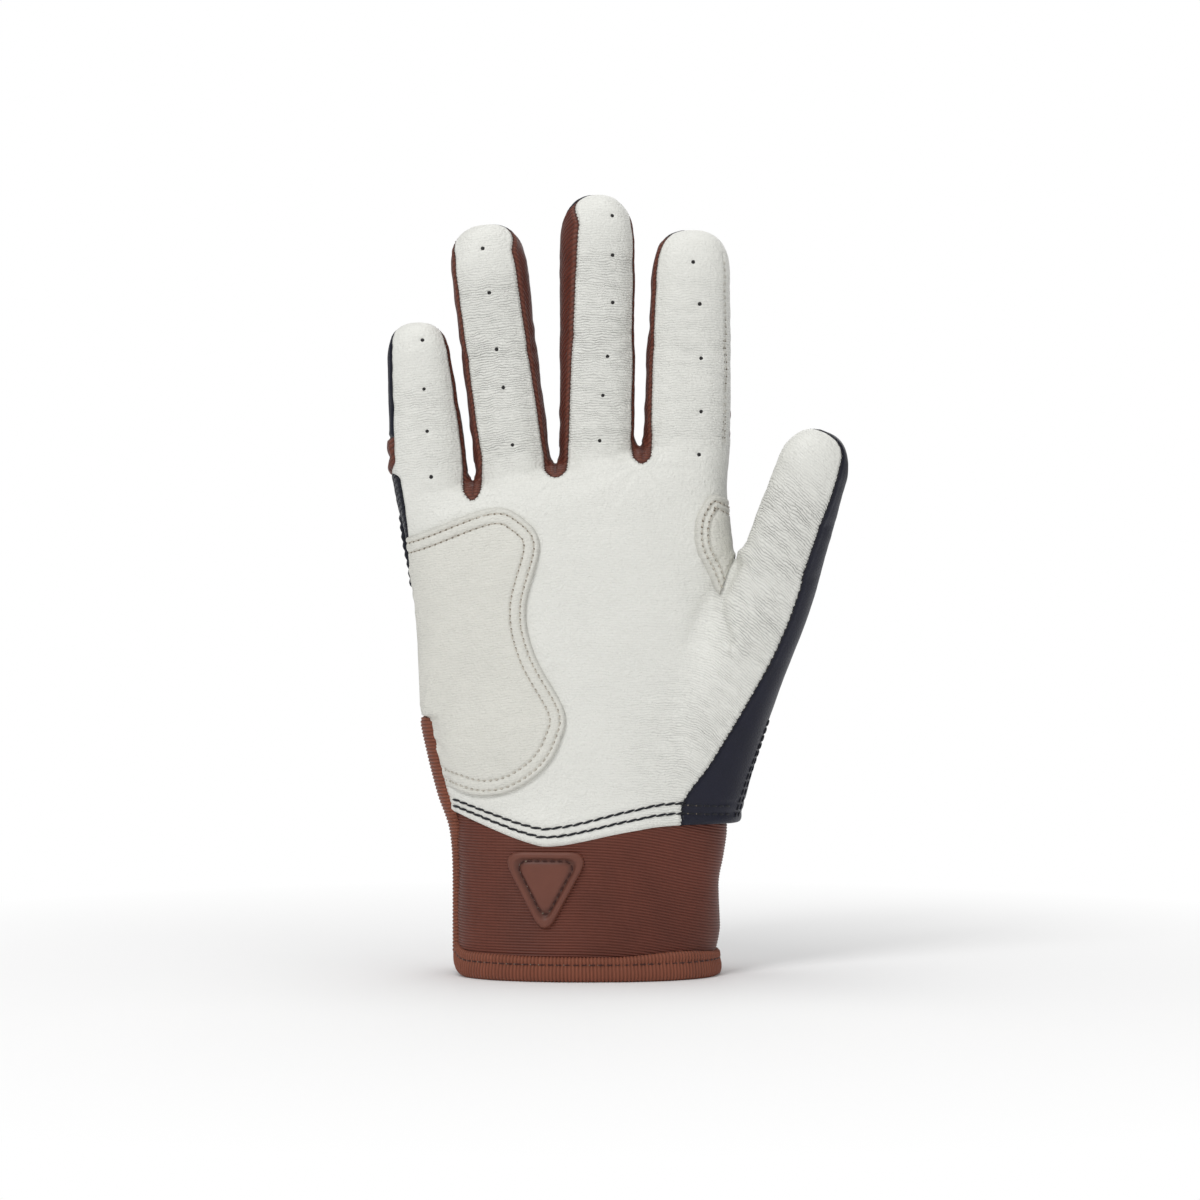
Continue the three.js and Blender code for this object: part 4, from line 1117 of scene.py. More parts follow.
@kept_group
def uneven_colour(name):
    """A colour that drifts towards a second one in soft patches, with painted shade in the pattern's hollows
    and along seams and folds, and a painted highlight on a turned edge.
    """
    tree, given, result = node_group(
        name, "ShaderNodeTree",
        [("Place", "Vector", None), ("Main", "Color", (0.5, 0.5, 0.5, 1)),
         ("Other", "Color", (0.4, 0.4, 0.4, 1)), ("Patch Size", "Float", 12.0), ("Shade", "Float", 1.0),
         ("Shade Depth", "Float", 0.2),
         ("Seam", "Float", NO_SEAM), ("Seam Dirt", "Float", 0.2), ("Bead", "Color", (0.5, 0.5, 0.5, 1)),
         ("Bead Share", "Float", 0.0)],
        [("Color", "Color")],
    )

    def mixed(share, a, b):
        return wire(tree, "ShaderNodeMix", {"Factor": share, "A": a, "B": b}, "Result", data_type="RGBA")

    seam = given["Seam"]
    drift = given["Place"].noise(1.0 / given["Patch Size"], 4.0, roughness=0.6).ranged(0.3, 0.7)
    # Painted highlight: a lighter colour on the raised turned edge beside a seam, where the rolled fold
    # catches the light
    bead = seam.ranged(0.15, 0.45) * seam.ranged(1.7, 1.1) * given["Bead Share"]
    colour = mixed(bead, mixed(drift, given["Main"], given["Other"]), given["Bead"])
    # Painted shade in the pattern's hollows: the creases' valleys and the grooves between ribs
    hollow = given["Shade"].rest() * given["Shade Depth"]
    # Painted shade: darker within about a millimetre of a seam or fold, where shade falls in the sunk groove
    dirt = seam.ranged(0.1, 1.1, 1.0, 0.0) * given["Seam Dirt"]
    colour.scaled((hollow + dirt).rest(clamp=True)).feed(result["Color"])
    return tree


class Surface(NamedTuple):
    """How a material looks: its pattern with its settings, its gloss, and how its colour varies."""

    name: str
    slot: str
    pattern: object
    settings: dict
    rough: float
    bump_strength: float
    bump_height: float
    # How dark the painted shade in the pattern's hollows is
    shade: float
    drift: float
    patch: float
    specular: float
    # How dark the painted shade along seams and folds is
    dirt: float = 0.2
    sheen: float = 0.0
    # The colour of the painted highlight on a turned edge, if any
    bead: str = ""
    by_place: bool = True


GRAIN = {"Pore Size": 0.75, "Crease Width": 0.7, "Crease Share": "crease"}
NAVY_GRAIN = {"Pore Size": 0.5, "Crease Width": 0.8, "Crease Share": 0.5}
RUBBER_GRAIN = {"Pore Size": 0.25, "Crease Width": 0.7, "Crease Share": 0.2}


def weave(across, along, pitch, **more):
    return {"Across": across, "Along": along, "Pitch": pitch, **more}


# The materials by the name of their colour. A setting in words is a point attribute or a named size.
SURFACES = {
    "white_leather": Surface(
        "grained_white_leather", "white_leather", leather_grain, GRAIN,
        0.46, 1.0, 0.26, 0.42, 0.965, 16, 0.4, dirt=0.05,
    ),
    # The palm's white leather again, made darker: painted shade on the heel pad and the crotch patch
    "shaded_pad_leather": Surface(
        "grained_pad_leather", "white_leather", leather_grain, GRAIN,
        0.46, 1.0, 0.26, 0.4, 0.95, 16, 0.4, dirt=0.16,
    ),
    "navy_leather": Surface(
        "grained_navy_leather", "navy_leather", leather_grain, NAVY_GRAIN,
        0.4, 0.8, 0.1, 0.3, 0.75, 9, 0.3, dirt=0.4,
    ),
    "stretch_fabric": Surface(
        "twill_stretch_fabric", "brown_stretch_fabric", rib_weave,
        weave((0.2, 0.72, 0.66), (0.2, -0.66, 0.72), 1.0),
        0.45, 0.8, 0.25, 0.5, 0.85, 7, 0.35, dirt=0.15, sheen=0.06, bead="fabric_bead_highlight",
    ),
    "cuff_fabric": Surface(
        "ribbed_cuff_fabric", "brown_ribbed_cuff_fabric", rib_weave,
        weave((0.0, 0.0, 1.0), (0.8, 0.55, 0.0), "cuff_rib", Wobble=0.0),
        0.5, 0.3, 0.1, 0.34, 0.7, 24, 0.35, dirt=0.3, sheen=0.12,
    ),
    "binding_tape": Surface(
        "grosgrain_tape", "brown_binding_tape", rib_weave,
        weave((0.0, 0.0, 1.0), (0.7, 0.7, 0.0), "tape_rib", Wobble=0.0),
        0.55, 0.3, 0.08, 0.45, 0.85, 8, 0.3, dirt=0.35, sheen=0.12,
    ),
    "navy_knit": Surface(
        "braided_navy_knit", "navy_knit", rib_weave, weave((0.3, 0.5, 0.8), (0.3, 0.5, -0.8), 1.1),
        0.7, 0.9, 0.4, 0.5, 0.8, 6, 0.25, dirt=0.4, sheen=0.3,
    ),
    "rubber": Surface(
        "moulded_rubber", "brown_rubber", leather_grain, RUBBER_GRAIN,
        0.5, 0.25, 0.05, 0.15, 0.9, 5, 0.4, dirt=0.4,
    ),
    "hook_and_loop": Surface(
        "fastening_pile", "hook_and_loop", rib_weave, weave((1.0, 0.0, 0.0), (0.0, 0.0, 1.0), 0.7),
        0.85, 0.8, 0.3, 0.5, 0.7, 3, 0.2, sheen=0.4,
    ),
}
THREAD = Surface(
    "", "", rib_weave, weave((1.0, 0.0, 1.0), (1.0, 0.0, -1.0), 0.28),
    0.6, 0.5, 0.08, 0.35, 0.85, 4, 0.3, sheen=0.2, by_place=False,
)
THREADS = (
    "white_thread", "pale_thread", "black_thread", "seam_thread", "brown_thread", "needle_hole",
    "punched_hole",
)
SURFACES |= {key: THREAD._replace(name=key) for key in THREADS}


def new_material(name):
    made = bpy.data.materials.new(name)
    made.use_nodes = True
    made.node_tree.nodes.clear()
    return made, made.node_tree


def kept_value(tree, name, output="Fac"):
    """A value or vector that the points of a mesh carry."""
    return wire(tree, "ShaderNodeAttribute", output=output, attribute_name=name)


def material(key):
    """A material built from its pattern: colour, roughness and relief all follow it."""
    look = SURFACES[key]
    if look.name in bpy.data.materials:
        return bpy.data.materials[look.name]
    made, tree = new_material(look.name)
    if look.by_place:
        place = kept_value(tree, "rest_mm", "Vector")
    else:
        place = wire(tree, "ShaderNodeTexCoord", output="Object").scaled(1 / MM)
    settings = {"Place": place}
    for label, value in look.settings.items():
        if value == "crease":
            value = kept_value(tree, value)
        elif isinstance(value, str):
            value = getattr(sizes(), value) / MM
        settings[label] = value
    pattern = node(tree, "ShaderNodeGroup", settings, node_tree=look.pattern())
    height, shade = (Wire(tree, pattern.outputs[label]) for label in ("Height", "Shade"))
    main = tuple(getattr(colours(), key))
    tint = {
        "Place": place, "Shade": shade, "Main": (*main, 1), "Other": (*(c * look.drift for c in main), 1),
        "Patch Size": look.patch, "Shade Depth": look.shade, "Seam Dirt": look.dirt,
    }
    if look.by_place:
        tint["Seam"] = kept_value(tree, "seam_mm")
    # Painted highlight on the fabric's turned edge
    if look.bead:
        tint |= {"Bead": (*getattr(colours(), look.bead), 1), "Bead Share": 0.5}
    bump = {"Height": height, "Strength": look.bump_strength, "Distance": look.bump_height * MM}
    shader = wire(tree, "ShaderNodeBsdfPrincipled", {
        "Base Color": wire(tree, "ShaderNodeGroup", tint, "Color", node_tree=uneven_colour()),
        "Roughness": shade.ranged(0.0, 1.0, min(look.rough + HOLLOW_ROUGHER, 1), look.rough),
        "Normal": wire(tree, "ShaderNodeBump", bump), "Specular IOR Level": look.specular,
        "Sheen Weight": look.sheen, "Sheen Roughness": SHEEN_ROUGHNESS,
    })
    node(tree, "ShaderNodeOutputMaterial", {"Surface": shader})
    return made


# Geometry node trees


def geometry_tree(name, inputs):
    tree, given, result = node_group(
        name, "GeometryNodeTree", [("Geometry", "Geometry", None), *inputs], [("Geometry", "Geometry")]
    )
    tree.is_modifier = True
    return tree, given, result["Geometry"]


def carried(tree, name, kind):
    """A value that the points of the geometry carry."""
    return wire(tree, "GeometryNodeInputNamedAttribute", {"Name": name}, "Attribute", data_type=kind)


def copies(points, shape, rotation, *size):
    """Copies of a shape at some points, with one size or one for each axis."""
    x, y, z = size if len(size) > 1 else size * 3
    scale = wire(points.tree, "ShaderNodeCombineXYZ", {"X": x, "Y": y, "Z": z})
    inputs = {"Points": points, "Instance": shape, "Rotation": rotation, "Scale": scale}
    return wire(points.tree, "GeometryNodeInstanceOnPoints", inputs)


def painted(geometry, paint):
    """Realises, smooths and paints what a tree has made."""
    tree = geometry.tree
    real = wire(tree, "GeometryNodeRealizeInstances", {"Geometry": geometry})
    smooth = wire(tree, "GeometryNodeSetShadeSmooth", {"Geometry": real})
    return wire(tree, "GeometryNodeSetMaterial", {"Geometry": smooth, "Material": paint})


def joined(*parts):
    both = node(parts[0].tree, "GeometryNodeJoinGeometry")
    for part in parts:
        part.feed(both.inputs[0])
    return Wire(parts[0].tree, both.outputs[0])


@kept_group
def stitch_rows(name):
    """Thread stitches along a line, each end drawn into a needle hole."""
    tree, given, result = geometry_tree(name, [
        ("Pitch", "Float", 0.002), ("Length", "Float", 0.0017), ("Thickness", "Float", 0.0005),
        ("Tilt", "Float", 0.0), ("Hole Size", "Float", 0.0003), ("Thread", "Material", None),
        ("Hole", "Material", None),
    ])
    pitch, thick = given["Pitch"], given["Thickness"]
    line = wire(tree, "GeometryNodeMeshToCurve", {"Mesh": given["Geometry"]})
    tangent = wire(tree, "GeometryNodeInputTangent")
    along = wire(tree, "FunctionNodeAlignRotationToVector", {"Vector": tangent}, axis="X")
    standing = {"Rotation": along, "Vector": carried(tree, "stitch_up", "FLOAT_VECTOR")}
    upright = wire(tree, "FunctionNodeAlignRotationToVector", standing, axis="Z", pivot_axis="X")
    turn = wire(tree, "ShaderNodeCombineXYZ", {"Z": given["Tilt"]})
    spin = wire(tree, "FunctionNodeEulerToRotation", {"Euler": turn})
    turned = {"Rotation": upright, "Rotate By": spin}
    turned = wire(tree, "FunctionNodeRotateRotation", turned, rotation_space="LOCAL")
    start, end = 4, 5
    from_half = {"Curve": line, start: pitch * 0.5, end: LONGEST_ROW}
    trimmed = wire(tree, "GeometryNodeTrimCurve", from_half, mode="LENGTH")
    placed, between = (
        wire(tree, "GeometryNodeResampleCurve", {"Curve": curve, "Length": pitch}, mode="LENGTH")
        for curve in (line, trimmed)
    )
    bead = wire(tree, "GeometryNodeMeshUVSphere", {"Segments": 8, "Rings": 6, "Radius": 0.5})
    # Each needle hole is a disc painted with the shade inside the hole
    disc = wire(tree, "GeometryNodeMeshCircle", {"Vertices": 8, "Radius": 1.0}, fill_type="NGON")
    stitches = copies(placed, bead, turned, given["Length"], thick, thick)
    holes = copies(between, disc, upright, given["Hole Size"])
    joined(painted(stitches, given["Thread"]), painted(holes, given["Hole"])).feed(result)
    return tree


@kept_group
def perforations(name):
    """Punched holes: a dark floor, painted shade inside the hole, and a pressed rim at each point."""
    tree, given, result = geometry_tree(name, [("Diameter", "Float", 0.001), ("Dark", "Material", None)])
    up = carried(tree, "stitch_up", "FLOAT_VECTOR")
    rotation = wire(tree, "FunctionNodeAlignRotationToVector", {"Vector": up}, axis="Z")
    form = {"Vertices": 14, "Radius Top": 0.55, "Radius Bottom": 1.0, "Depth": 0.25}
    disc = wire(tree, "GeometryNodeMeshCone", form, fill_type="NGON")
    painted(copies(given["Geometry"], disc, rotation, given["Diameter"] * 0.5), given["Dark"]).feed(result)
    return tree


@kept_group
def rib_relief(name):
    """Raises rounded ribs across a cloth: rib_run says how far along the row of ribs a point is."""
    tree, given, result = geometry_tree(name, [
        ("Pitch", "Float", 0.0008), ("Height", "Float", 0.00015), ("Cloth", "Material", None),
    ])
    height = (carried(tree, "rib_run", "FLOAT") / given["Pitch"]).ripple() * given["Height"]
    offset = wire(tree, "GeometryNodeInputNormal").scaled(height)
    raised = wire(tree, "GeometryNodeSetPosition", {"Geometry": given["Geometry"], "Offset": offset})
    painted(raised, given["Cloth"]).feed(result)
    return tree


@kept_group
def pile(name):
    """A short pile of hooks or loops scattered over a patch, with the patch itself."""
    tree, given, result = geometry_tree(name, [
        ("Density", "Float", 2000000.0), ("Seed", "Int", 7), ("Size", "Float", 0.0005),
        ("Cloth", "Material", None),
    ])
    spread = node(
        tree, "GeometryNodeDistributePointsOnFaces",
        {"Mesh": given["Geometry"], "Density": given["Density"], "Seed": given["Seed"]},
    )
    points, rotation = (Wire(tree, spread.outputs[label]) for label in ("Points", "Rotation"))
    loop = wire(tree, "GeometryNodeMeshIcoSphere", {"Radius": 0.6, "Subdivisions": 1})
    loops = copies(points, loop, rotation, given["Size"])
    painted(joined(loops, given["Geometry"]), given["Cloth"]).feed(result)
    return tree


def settle(piece, tree, **inputs):
    """Runs a node tree on a piece and keeps its result as a plain mesh."""
    modifier = piece.modifiers.new(tree.name, "NODES")
    modifier.node_group = tree
    sockets = {s.name: s.identifier for s in tree.interface.items_tree if s.in_out == "INPUT"}
    for key, value in inputs.items():
        modifier[sockets[key.replace("_", " ").title()]] = value
    piece.update_tag()
    graph = bpy.context.evaluated_depsgraph_get()
    mesh = bpy.data.meshes.new_from_object(
        piece.evaluated_get(graph), preserve_all_data_layers=True, depsgraph=graph
    )
    piece.modifiers.remove(modifier)
    old, piece.data = piece.data, mesh
    bpy.data.meshes.remove(old)
    mesh.name = piece.name


def row_object(name, rows):
    """Loose lines for stitches: each row is a list of (place, outward normal)."""
    steps = [step for row in rows for step in row]
    starts = np.cumsum([0] + [len(row) for row in rows])
    edges = [(first + i, first + i + 1) for first, row in zip(starts, rows) for i in range(len(row) - 1)]
    return line_object(name, [tuple(place) for place, _ in steps], [tuple(up) for _, up in steps], edges)


def line_object(name, points, ups, edges):
    """Points with their outward normals, joined by loose edges."""
    made = mesh_object(name, points, np.zeros((0, 3)))
    if len(edges):
        made.data.edges.add(len(edges))
        made.data.edges.foreach_set("vertices", np.array(edges, np.int32).ravel())
        made.data.update()
    keep_values(made.data, "stitch_up", ups)
    return made


def sew(made, body, cloth, thread, pitch, length, thickness, tilt=0.0, hole=0.28):
    """Turns loose lines into stitches on a cloth, with sizes in millimetres; the cloth argument is not used.
    """
    settle(
        made, stitch_rows(), pitch=pitch * MM, length=length * MM, thickness=thickness * MM, tilt=tilt,
        hole_size=hole * MM, thread=material(thread), hole=material("needle_hole"),
    )
    if body:
        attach(made, body)
    return made


def stitched(name, rows, *how, **more):
    """Sewn rows as one piece."""
    return sew(row_object(name, [row for row in rows if len(row) > 1]), *how, **more)


def facing_out(places):
    """A row of places round the cuff, each with the direction that faces away from its middle."""
    return list(zip(places, unit(places * (1, 1, 0))))


# Settings


def srgb(red, green, blue):
    """A screen colour, 0 to 255, as the linear colour that the shaders use."""
    shares = (v / 255 for v in (red, green, blue))
    return tuple(v / 12.92 if v <= 0.04045 else ((v + 0.055) / 1.055) ** 2.4 for v in shares)


def size_property(name, description, value):
    return bpy.props.FloatProperty(
        name=name, description=description, default=value * MM, min=0, precision=5, subtype="DISTANCE",
        unit="LENGTH",
    )


def colour_property(name, description, value):
    return bpy.props.FloatVectorProperty(
        name=name, description=description, default=value, min=0, max=1, size=3, subtype="COLOR"
    )


class GloveSizes(bpy.types.PropertyGroup):
    """Sizes of the sewn work."""

    surface_detail: size_property("Surface Detail", "Spacing of the points on the leather", 0.62)
    leather: size_property("Leather", "Thickness of the leather at its turned edges", 1.0)
    seam_depth: size_property("Seam Depth", "How far a sewn seam sinks", 0.18)
    wrinkle_height: size_property("Wrinkle Height", "Height of the wrinkles in the leather", 0.13)
    pad: size_property("Pad", "Thickness of the leather overlays", 1.25)
    cuff_rib: size_property("Cuff Rib", "Pitch of the cuff's ribs", 0.8)
    tape_rib: size_property("Tape Rib", "Pitch of the tape's ribs", 1.0)
    pad_stitch: size_property("Pad Stitch", "Pitch of the stitches on the overlays", 1.8)
    wrist_stitch: size_property("Wrist Stitch", "Pitch of the stitches along the wrist", 2.8)
    hole: size_property("Hole", "Diameter of the punched holes", 1.25)


class GloveColours(bpy.types.PropertyGroup):
    """Colours of the materials."""

    white_leather: colour_property("White Leather", "Palm and finger faces", srgb(230, 230, 224))
    # The white leather made darker: painted shade on the raised heel pad and crotch patch
    shaded_pad_leather: colour_property("Pad Leather", "Heel pad and crotch patch", srgb(223, 222, 214))
    navy_leather: colour_property("Navy Leather", "Backs and thumb gusset", srgb(18, 20, 40))
    stretch_fabric: colour_property("Stretch Fabric", "Fourchettes, webs and knuckle ribs", srgb(104, 49, 35))
    # Painted highlight: the lighter brown of the rolled turned edge
    fabric_bead_highlight: colour_property("Fabric Bead", "Turned edge of the stretch fabric", srgb(126, 72, 55))
    cuff_fabric: colour_property("Cuff Fabric", "Cuff and wrist strap", srgb(114, 59, 44))
    binding_tape: colour_property("Binding Tape", "Hem and slit bindings", srgb(138, 79, 58))
    navy_knit: colour_property("Navy Knit", "Edge of the hand under the little finger", srgb(34, 36, 48))
    rubber: colour_property("Rubber", "Badge and pull tab", srgb(110, 63, 49))
    hook_and_loop: colour_property("Hook and Loop", "Strap fastening", srgb(46, 38, 36))
    white_thread: colour_property("White Thread", "Stitches on the overlays", srgb(216, 210, 198))
    pale_thread: colour_property("Pale Thread", "Stitches down the index finger's side", srgb(222, 220, 212))
    black_thread: colour_property("Black Thread", "Stitches round the wrist", srgb(30, 31, 38))
    seam_thread: colour_property("Seam Thread", "Stitches in the fabric's seams", srgb(84, 48, 40))
    # The thread's own brown, made darker as painted shade of the groove that the hem stitches sink into
    brown_thread: colour_property("Brown Thread", "Stitches on the cuff", srgb(74, 38, 31))
    needle_hole: colour_property("Needle Hole", "Shade inside the needle holes", srgb(140, 128, 112))
    punched_hole: colour_property("Punched Hole", "Shade inside the punched holes", srgb(40, 38, 38))
    floor: colour_property("Floor", "Studio floor", srgb(250, 250, 250))


def sizes():
    return bpy.context.scene.glove_sizes


def colours():
    return bpy.context.scene.glove_colours


_made = {}


def skin():
    if "skin" not in _made:
        _made["skin"] = Skin(sizes())
    return _made["skin"]


def skin_piece(name, chosen, code):
    """A panel of the skin from the chosen faces."""
    surface = skin()
    return leather_piece(
        name, surface.points, surface.faces[chosen], surface.normals[code], surface.out, surface.place,
        surface.columns["seam"], surface.crease, sizes().leather / MM,
    )


class GLOVE_OT_hand_panels(bpy.types.Operator):
    """Sew the panels of the hand: palm, back, gussets and the webs between the fingers"""

    bl_idname = "glove.hand_panels"
    bl_label = "Hand Panels"

    def execute(self, context):
        surface = skin()
        hand = surface.means["zone"] <= 0
        middle = surface.flat[surface.faces].mean(1)[:, 0]
        web_middles = [np.array(line)[:, 0].mean() for line in WEBS.values()]
        nearest_web = np.array([np.abs(middle - x) for x in web_middles]).argmin(0)
        panels = [
            ("palm_skin", WHITE, hand, "palm_leather", "white_leather"),
            ("back_skin", NAVY, hand, "hand_back_panel", "navy_leather"),
            ("thumb_gusset_skin", GUSSET, hand, "thumb_side_gusset", "navy_leather"),
            ("pinky_edge_knit", KNIT, hand, "pinky_side_gusset", "navy_knit"),
        ]
        for i, name in enumerate(WEBS):
            panels.append((name + "_cloth", BROWN, hand & (nearest_web == i), name, "stretch_fabric"))
        for name, code, where, cad_node, key in panels:
            chosen = where & (surface.codes == code)
            if not chosen.any():
                raise RuntimeError(f"{name} has no faces")
            dress(skin_piece(name, chosen, code), "hand", key, [cad_node])
        return {"FINISHED"}


class GLOVE_OT_finger_panels(bpy.types.Operator):
    """Sew the panels of each finger, above and below its middle"""

    bl_idname = "glove.finger_panels"
    bl_label = "Finger Panels"

    def execute(self, context):
        surface = skin()
        on_finger, upper = surface.means["zone"] > 0, surface.means["split"] > 0
        middles = surface.flat[surface.faces].mean(1)
        for i, finger in enumerate(FINGERS):
            mine = on_finger & (surface.nearest == i)
            sides = finger.local(middles)[:, 0]
            for level, part, where in (("lower", "base", ~upper), ("upper", "tip", upper)):
                for label, code, side, cad_node, key in self.panels(finger, part):
                    chosen = mine & where & (surface.codes == code)
                    if side:
                        chosen &= sides * side > 0
                    if chosen.any():
                        piece = skin_piece(f"{finger.name}_{label}_{level}", chosen, code)
                        dress(piece, None, key, [cad_node] if cad_node else [])
                        bend(piece, finger, level)
        return {"FINISHED"}

    @staticmethod
    def panels(finger, part):
        """Each panel's name, code, side, the node that it stands for and its material."""
        label = f"{finger.name}_{part}"
        back, other = (GUSSET, NAVY) if finger.name == "thumb" else (NAVY, GUSSET)
        yield "face", WHITE, 0, label + "_palm_face", "white_leather"
        yield "back", back, 0, label + "_back", "navy_leather"
        for side, word in ((-1, "left"), (1, "right")):
            cad_node = f"{label}_{word}_fourchette" if side in finger.sides else None
            yield f"{word}_fourchette", BROWN, side, cad_node, "stretch_fabric"
        if finger.name != "thumb":
            cad_node = f"{finger.name}_knuckle_ribs" if part == "base" else None
            yield "knuckle_ribs", RIBS, 0, cad_node, "stretch_fabric"
        yield "root_back", other, 0, None, "navy_leather"
        yield "edge_knit", KNIT, 0, None, "navy_knit"


def overlay(name, column, cad_node, rows):
    """A leather overlay on the palm: a rounded edge, and a furrow under each row of stitches."""
    surface = skin()
    thick = sizes().pad / MM
    points, faces, columns = surface.points, surface.all_faces, dict(surface.columns)
    vectors = {"out": surface.out, "place": surface.place}
    columns |= {key + axis: vectors[key][:, i] for key in vectors for i, axis in enumerate("xyz")}
    faces = faces[(columns[column][faces] > -2).all(1) & (columns["facing"][faces] > -2).all(1)]
    columns["room"] = np.minimum.reduce([
        columns["facing"] - 0.6, columns["past_thumb"], -0.4 - columns["knit"], columns["binding"] - 0.2
    ])
    points, faces, columns = split_along(points, faces, columns, columns["room"])
    faces = faces[columns["room"][faces].mean(1) > 0]
    for edge in [0, 0.2, 0.5, 1.0] + [row + step for row in rows for step in (-0.45, 0, 0.45)]:
        points, faces, columns = split_along(points, faces, columns, columns[column] - edge)
    faces = faces[columns[column][faces].mean(1) > 0]
    out, place = (np.stack([columns[key + axis] for axis in "xyz"], -1) for key in vectors)
    depth = np.clip(columns[column], 0, None)
    ease = smoothstep(columns["facing"], 0, 9) * smoothstep(columns["binding"], 0, 5)
    lift = 0.15 + thick * quarter_round(depth / 0.9) * ease
    for row in rows:
        lift -= 0.42 * bell(depth, row, 0.42)
    lift += 0.12 * bell(depth, np.mean(rows), 0.9) + 0.06 * soft_noise(place / 2.4, 21)
    raised = points + out * lift[:, None]
    _made[column + "_tree"] = surface_tree(raised, faces)
    # The depth from the edge is kept as the seam distance, so painted seam shade darkens the overlay's edge
    piece = leather_piece(
        name, raised, faces, point_normals(raised, faces), out, place, np.maximum(depth, 0.1),
        np.full(len(raised), PAD_CREASE), PAD_WALL,
    )
    dress(piece, "hand", "shaded_pad_leather", [cad_node])


class GLOVE_OT_palm_overlays(bpy.types.Operator):
    """Sew the heel pad and the patch at the thumb's crotch onto the palm"""

    bl_idname = "glove.palm_overlays"
    bl_label = "Palm Overlays"

    def execute(self, context):
        overlay("heel_pad_leather", "heel", "heel_pad", HEEL_ROWS)
        overlay("crotch_patch_leather", "patch", "thumb_crotch_patch", PATCH_ROWS)
        return {"FINISHED"}


def cloth_grid(name, points, rib_run):
    """A cloth from rows of points, with the run of its ribs kept for the relief and for the weave, whose
    painted shade lines up with the ribs' grooves.
    """
    rows, columns, _ = points.shape
    flat = points.reshape(-1, 3)
    made = mesh_object(name, flat, grid_faces(rows, columns))
    run = np.broadcast_to(rib_run, (rows, columns)).ravel()
    keep_values(made.data, "rib_run", run * MM)
    keep_values(made.data, "rest_mm", np.concatenate([flat[:, :2], run[:, None]], 1))
    return made


def hem_corner(away):
    """How far the hem curves up at a distance from the slit."""
    return 4.6 * np.clip(1 - away / 15.0, 0, 1) ** 2


def hem_rise(run):
    """How far the hem curves up along a run from one side of the slit round to the other."""
    return hem_corner(np.minimum(run, run[-1] - run))


class GLOVE_OT_cuff(bpy.types.Operator):
    """Make the ribbed cuff: its palm side, its back and its lining"""

    bl_idname = "glove.cuff"
    bl_label = "Cuff"

    def execute(self, context):
        pitch = sizes().cuff_rib / MM
        seam = angle_at_depth(SPLIT_Y, CUFF_LOOP_Z)
        back_slit = 360 - angle_at_depth(SPLIT_Y + SLIT_GAP, CUFF_LOOP_Z)
        panels = [
            ("cuff_palm_cloth", -seam, seam - 0.3, 53.0, "cuff_palm_panel"),
            ("cuff_back_cloth", seam + 0.3, back_slit, 47.0, "cuff_back_panel"),
        ]
        for name, start, end, top, cad_node in panels:
            angles = np.linspace(start, end, 97)
            rows = int((top + 7) / pitch * RIB_STEPS)
            run = np.linspace(0, rows / RIB_STEPS * pitch, rows + 1)[:, None]
            loop = hand_point(angles, CUFF_LOOP_Z)
            x = loop[:, 0]
            fall = np.cumsum(np.gradient(x) * 0.26 * smoothstep(x, -8, 30)) if start < 0 else 0 * x
            length = run_of(loop)
            rise = hem_corner(length if start < 0 else length[-1] - length)
            z = np.clip(CUFF_LOW + run - fall, CUFF_LOW + rise, top)
            full = smoothstep(x, 15, 36) * smoothstep(z, 6, 14) * (1 - smoothstep(z, 30, 42))
            points = hand_point(angles, z, -0.45 + 1.2 * full - 0.9 * smoothstep(z, 38, 46))
            soft = 0
            for share, cell, seed in CUFF_SOFTNESS:
                soft = soft + share * soft_noise(points.reshape(-1, 3) / cell, seed).reshape(z.shape)
            pull = -0.9 * bell(z, 4, 3.0)
            points = points + unit(points * (1, 1, 0)) * (0.3 * soft + pull)[..., None]
            piece = cloth_grid(name, points, run)
            settle(piece, rib_relief(), pitch=pitch * MM, height=0.3 * MM, cloth=material("cuff_fabric"))
            dress(piece, "hand", "cuff_fabric", [cad_node])
        angles = np.linspace(-seam, back_slit, 121)
        heights = np.linspace(2, 46, 23)[:, None]
        rise = hem_rise(run_of(hand_point(angles, CUFF_LOOP_Z)))
        lining = hand_point(angles, np.maximum(heights, CUFF_LOW + rise), -2.0)[:, ::-1]
        dress(cloth_grid("cuff_lining", lining, heights), "hand", "cuff_fabric")
        return {"FINISHED"}


